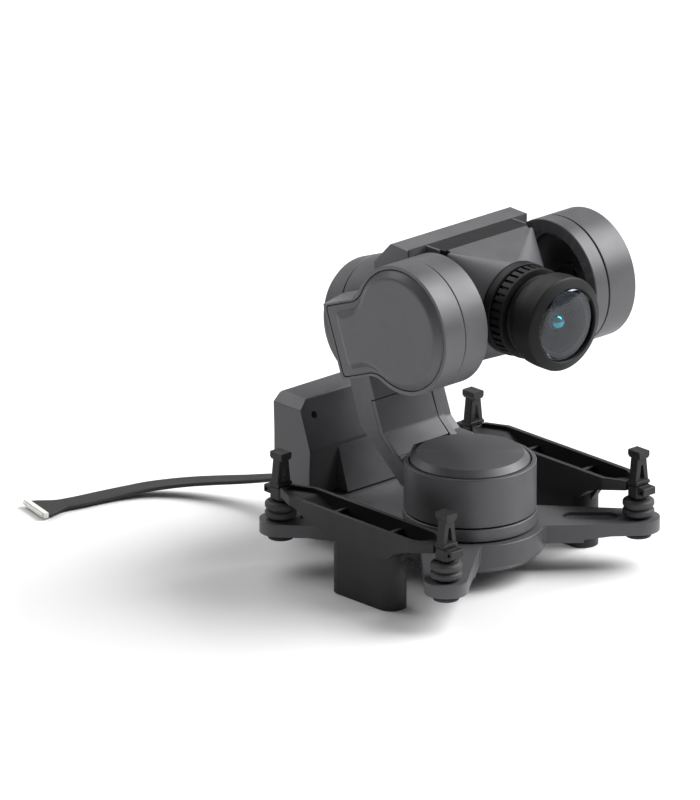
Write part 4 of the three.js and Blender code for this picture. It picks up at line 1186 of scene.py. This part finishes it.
def camera_bracket():
    shell = cut(
        prism("x", bracket_side(0), -plate_inner, plate_inner, 0.3),
        prism("x", bracket_side(bracket_wall), -pitch_plate_x, pitch_plate_x),
    )
    rotor = bar("x", pitch_radius, -pitch_seam, -pitch_plate_x, 0.2, 160)
    seat_profile = [
        (0, pitch_plate_x), (pitch_radius, pitch_plate_x, 0.3),
        (pitch_radius, balance_seam - half_seam, 0.12), (0, balance_seam - half_seam),
    ]
    body = join(shell, rotor, turned("x", seat_profile))
    mouth_profile = [
        (0, pitch_plate_x - 1), (balance_bore + 1.6, pitch_plate_x - 1),
        (balance_bore, pitch_plate_x + 0.6, 0.3), (balance_bore, balance_seam + 1),
        (0, balance_seam + 1),
    ]
    mouth = turned("x", mouth_profile, 128)
    body = cut(body, bar("x", pitch_radius - can_wall, -pitch_seam - 1, -plate_inner, 0, 128), mouth)
    holes = []
    for side in ("left", "right"):
        place = centre_of(in_camera("bracket_screw_" + side))
        holes.append(shifted(bar("y", 0.9, bracket_rear - 4, bracket_rear + 1, 0, 40), place.x, 0, place.z))
    return cut(body, *holes)


show(camera_bracket, camera_place)


def balance_cap():
    near, far = balance_low.x, balance_high.x
    profile = [
        (0, far - 1.5), (pitch_radius - can_wall, far - 1.5), (pitch_radius - can_wall, near),
        (pitch_radius, near, 0.12), (pitch_radius, far - 0.5, 0.25),
        (pitch_radius - 0.5, far, 0.25), (0, far),
    ]
    return turned("x", profile)


show(balance_cap, camera_place)

shell_front = bracket_front - 4.75
shell_rear = bracket_front - gap
shell_wall = 1.4
neck_radius = 7.9
neck_front = 4.5
lens_stem = 5.9
strip_depth = 0.6


def camera_front():
    """The pyramid between the body's square rear and the lens neck."""
    corners = []
    for y in (shell_front, shell_rear):
        for x in (-camera_half, camera_half):
            corners += [(x, y, z) for z in (-camera_tall, camera_tall)]
    corners += [(u, -neck_front, v) for u, v in arc(0, 0, neck_radius, 0, 2 * pi, 96)[:-1]]
    wide = camera_half - shell_wall
    tall = camera_tall - shell_wall
    pocket = block(-wide, wide, shell_front + 0.6, shell_rear + 1, -tall, tall)
    lens_hole = bar("-y", lens_stem + gap, -shell_rear, neck_front + 1, 0, 96)
    half = camera_half - 0.4
    above = camera_tall + 1
    seat = block(-half, half, shell_front + 0.3, shell_rear + 1, camera_tall - strip_depth, above)
    notches = []
    for side in (-1, 1):
        near, far = sorted((side * (half - 0.7), side * (camera_half + 1)))
        notches.append(block(near, far, shell_front - 0.5, shell_front + 1.3, camera_tall - 1.5, above))
    return cut(hull(corners), pocket, lens_hole, seat, *notches)


show(camera_front, camera_place)


def camera_top_strip():
    half = camera_half - 0.5
    low = camera_tall - strip_depth + 0.1
    return block(-half, half, shell_front + 0.45, shell_rear - 0.25, low, camera_tall - 0.02, 0.08)


show(camera_top_strip, camera_place)


def camera_back():
    wall = 1.2
    inset = bracket_wall + gap
    half = camera_half - 0.6
    mouth = bracket_front - 1
    outline = [(max(y, bracket_front), *rest) for y, *rest in bracket_side(inset)]
    room = [(max(y, mouth), *rest) for y, *rest in bracket_side(inset + wall)]
    room[0] = (mouth, room[0][1])
    room[-1] = (mouth, room[-1][1])
    return cut(prism("x", outline, -half, half, 0.2), prism("x", room, -half + wall, half - wall))


show(camera_back, camera_place)

# ------------ lens

# Stations along the lens are measured forward from the pitch axis.
lens_front = 17
lens_head = 8
lens_head_length = 5.5
glass_radius = 6.1
glass_rise = 0.9
lens_bore = 4.8
mount_from = neck_front + gap
mount_to = mount_from + 1.5
lock_from = mount_to + gap
lock_to = lock_from + 2.5
barrel_from = lock_to + gap
head_from = lens_front - lens_head_length


def lens_mount_ring():
    profile = [
        (lens_stem + gap, mount_from), (neck_radius, mount_from, 0.12),
        (neck_radius, mount_to, 0.14), (neck_radius - 0.3, mount_to, 0.05),
        (lens_stem + gap, mount_to - 0.15),
    ]
    return turned("-y", profile)


def lens_lock_ring():
    radius = neck_radius - 0.2
    teeth = 36
    body = ring("-y", lens_stem + gap, radius, lock_from, lock_to, 0.15, 4 * teeth)
    slots = []
    for i in range(teeth):
        slot = block(radius - 0.5, radius + 1, -lock_to + 0.5, -lock_from + 0.4, -0.27, 0.27, 0.08)
        slots.append(spun(slot, "Y", 360 * (i + 0.5) / teeth))
    return cut(body, *slots)


def lens_barrel():
    profile = [
        (lens_bore, -1.5), (lens_stem, -1.5), (lens_stem, barrel_from),
        (lens_stem + 0.9, barrel_from, 0.12), (lens_stem + 0.9, barrel_from + 0.5, 0.12),
        (lens_stem + 0.7, barrel_from + 0.6, 0.05), (lens_stem + 0.7, barrel_from + 1.2, 0.05),
        (lens_stem + 0.95, barrel_from + 1.3, 0.05), (lens_stem + 0.95, head_from - 0.2, 0.3),
        (lens_head - 0.15, head_from + 0.6, 0.8), (lens_head, head_from + 2.2, 0.6),
        (lens_head, lens_front - 0.9, 0.2), (lens_head - 0.25, lens_front - 0.65, 0.15),
        (glass_radius + 0.3, lens_front, 0.08), (glass_radius + 0.12, lens_front - 0.25, 0.06),
        (glass_radius + 0.12, lens_front - 1.6), (lens_bore, lens_front - 1.6),
    ]
    return turned("-y", profile)


def front_glass():
    seat = lens_front - 1.3
    edge = lens_front - 0.45
    dome = [(0, seat), (glass_radius - 0.6, seat, 0.1), (glass_radius, seat + 0.5, 0.1)]
    steps = 24
    ball = (glass_radius**2 + glass_rise**2) / (2 * glass_rise)
    for i in range(steps + 1):
        r = glass_radius * (1 - i / steps)
        dome.append((r, edge + glass_rise - ball + sqrt(ball**2 - r**2)))
    return turned("-y", dome)


def lens_element(start, end, bead=0.0, bead_end=0.0):
    """A bulging lens between two stations, with a small steep element standing on its front."""
    radius = lens_bore - gap
    bulge = (end - start) * 0.3
    ball = (radius**2 + bulge**2) / (2 * bulge)
    front = []
    steps = 20
    for i in range(steps + 1):
        r = radius * i / steps
        front.append((r, ball - sqrt(ball**2 - r**2)))
    profile = [(r, start + rise) for r, rise in front]
    profile += [(r, end - rise) for r, rise in reversed(front)]
    body = turned("-y", profile, 96)
    if not bead:
        return body
    crown = [(x, bead_end - bead + y) for x, y in arc(0, 0, bead, 0, pi / 2, 12)[:-1]]
    post = [(0, end - 1), (bead, end - 1), *crown, (0, bead_end)]
    return join(body, turned("-y", post, 64))


bead_radius = 1.3
bead_end = 15.2
middle_end = 11.4


def coated_lens_material():
    """Black glass with a teal spot painted at its middle: a painted reflection of the coating's glint."""
    nodes = Nodes("lens_with_painted_glint")
    shader = nodes.shader
    middle = (camera_place @ Vector((0, -bead_end, 0))) * MM
    apart = nodes.tree.nodes.new("ShaderNodeVectorMath")
    apart.operation = "DISTANCE"
    nodes.plug(nodes.place(), apart.inputs[0])
    nodes.plug(middle, apart.inputs[1])
    share = nodes.ranged(apart.outputs["Value"], 1, 0, bead_radius * MM, 1.6 * bead_radius * MM)
    black = (0.006, 0.007, 0.012, 1)
    # The teal spot is a painted reflection, the glint of the coating, not the glass's own colour.
    painted_teal_glint = (0.06, 0.50, 0.48, 1)
    nodes.plug(nodes.mixed(share, black, painted_teal_glint), shader.inputs["Base Color"])
    nodes.plug(nodes.ranged(nodes.noise(2.0), 0.05, 0.1), shader.inputs["Roughness"])
    nodes.plug(nodes.ranged(share, 0.1, 0.8, 0, 1), shader.inputs["Metallic"])
    return nodes.material


lens_with_painted_glint = coated_lens_material()
show(lens_mount_ring, camera_place)
show(lens_lock_ring, camera_place)
show(lens_barrel, camera_place)
show(front_glass, camera_place)
middle_lens = lens_element(7.6, middle_end, bead_radius, bead_end)
piece("middle_lens", middle_lens, camera_place, lens_with_painted_glint)
piece("rear_lens", lens_element(-0.8, 2.4), camera_place, lens_with_painted_glint)

# ------------ screws


def screw(node, place):
    """A socket-head screw whose head is down, as long as the CAD node is."""
    low, high = span(node)
    length = max(high - low)
    head, tall, shank = 1.5, 1.3, 0.6
    profile = [(0, 0), (head, 0, 0.2), (head, tall, 0.1), (shank, tall), (shank, length, 0.2), (0, length)]
    socket = bar("z", 0.62, -1, 0.75, 0, 6)
    piece(node, cut(turned("z", profile, 64), socket), place)


for node in sorted(body_of):
    if not node.startswith(("hub_screw", "housing_screw", "bracket_screw")):
        continue
    low, high = span(node)
    middle = centre_of((low, high))
    if node.startswith("bracket"):
        screw(node, Matrix.Translation((middle.x, high.y, middle.z)) @ Matrix.Rotation(pi / 2, 4, "X"))
    else:
        screw(node, Matrix.Translation((middle.x, middle.y, low.z)))

# ------------ floor and lights


floor_nodes = Nodes("floor")
floor_nodes.shader.inputs["Base Color"].default_value = (0.93, 0.93, 0.93, 1)
floor_nodes.shader.inputs["Roughness"].default_value = 0.9
floor_mesh = bpy.data.meshes.new("floor")
floor_half = 6
floor_corners = [(x * floor_half, y * floor_half, 0) for x, y in ((-1, -1), (1, -1), (1, 1), (-1, 1))]
floor_mesh.from_pydata(floor_corners, [], [(0, 1, 2, 3)])
floor_mesh.materials.append(floor_nodes.material)
ground = bpy.data.objects.new("floor", floor_mesh)
ground.location.z = cad_bounds[0][2]
scene.collection.objects.link(ground)

world = bpy.data.worlds.new("world")
world.use_nodes = True
background = world.node_tree.nodes["Background"]
background.inputs["Color"].default_value = (1, 1, 1, 1)
background.inputs["Strength"].default_value = 0.14
scene.world = world
scene.view_settings.view_transform = "Standard"


def softbox(name, direction, distance, size, power):
    light = bpy.data.lights.new(name, "AREA")
    light.shape = "RECTANGLE"
    light.size, light.size_y = size
    light.energy = power
    lamp = bpy.data.objects.new(name, light)
    direction = Vector(direction).normalized()
    lamp.location = centre_of(cad_bounds) + distance * direction
    lamp.rotation_euler = direction.to_track_quat("Z", "Y").to_euler()
    scene.collection.objects.link(lamp)


softbox("key", (0.64, -0.36, 0.67), 1.2, (0.9, 0.9), 23.5)
softbox("back", (0.0, 0.75, 0.72), 1.4, (1.8, 0.7), 13)

for node, shown in frame["nodes"].items():
    if not shown.hide_render:
        shown.data.materials.clear()
        shown.data.materials.append(finishes[slot_of[node]])
        shown.data.shade_smooth()
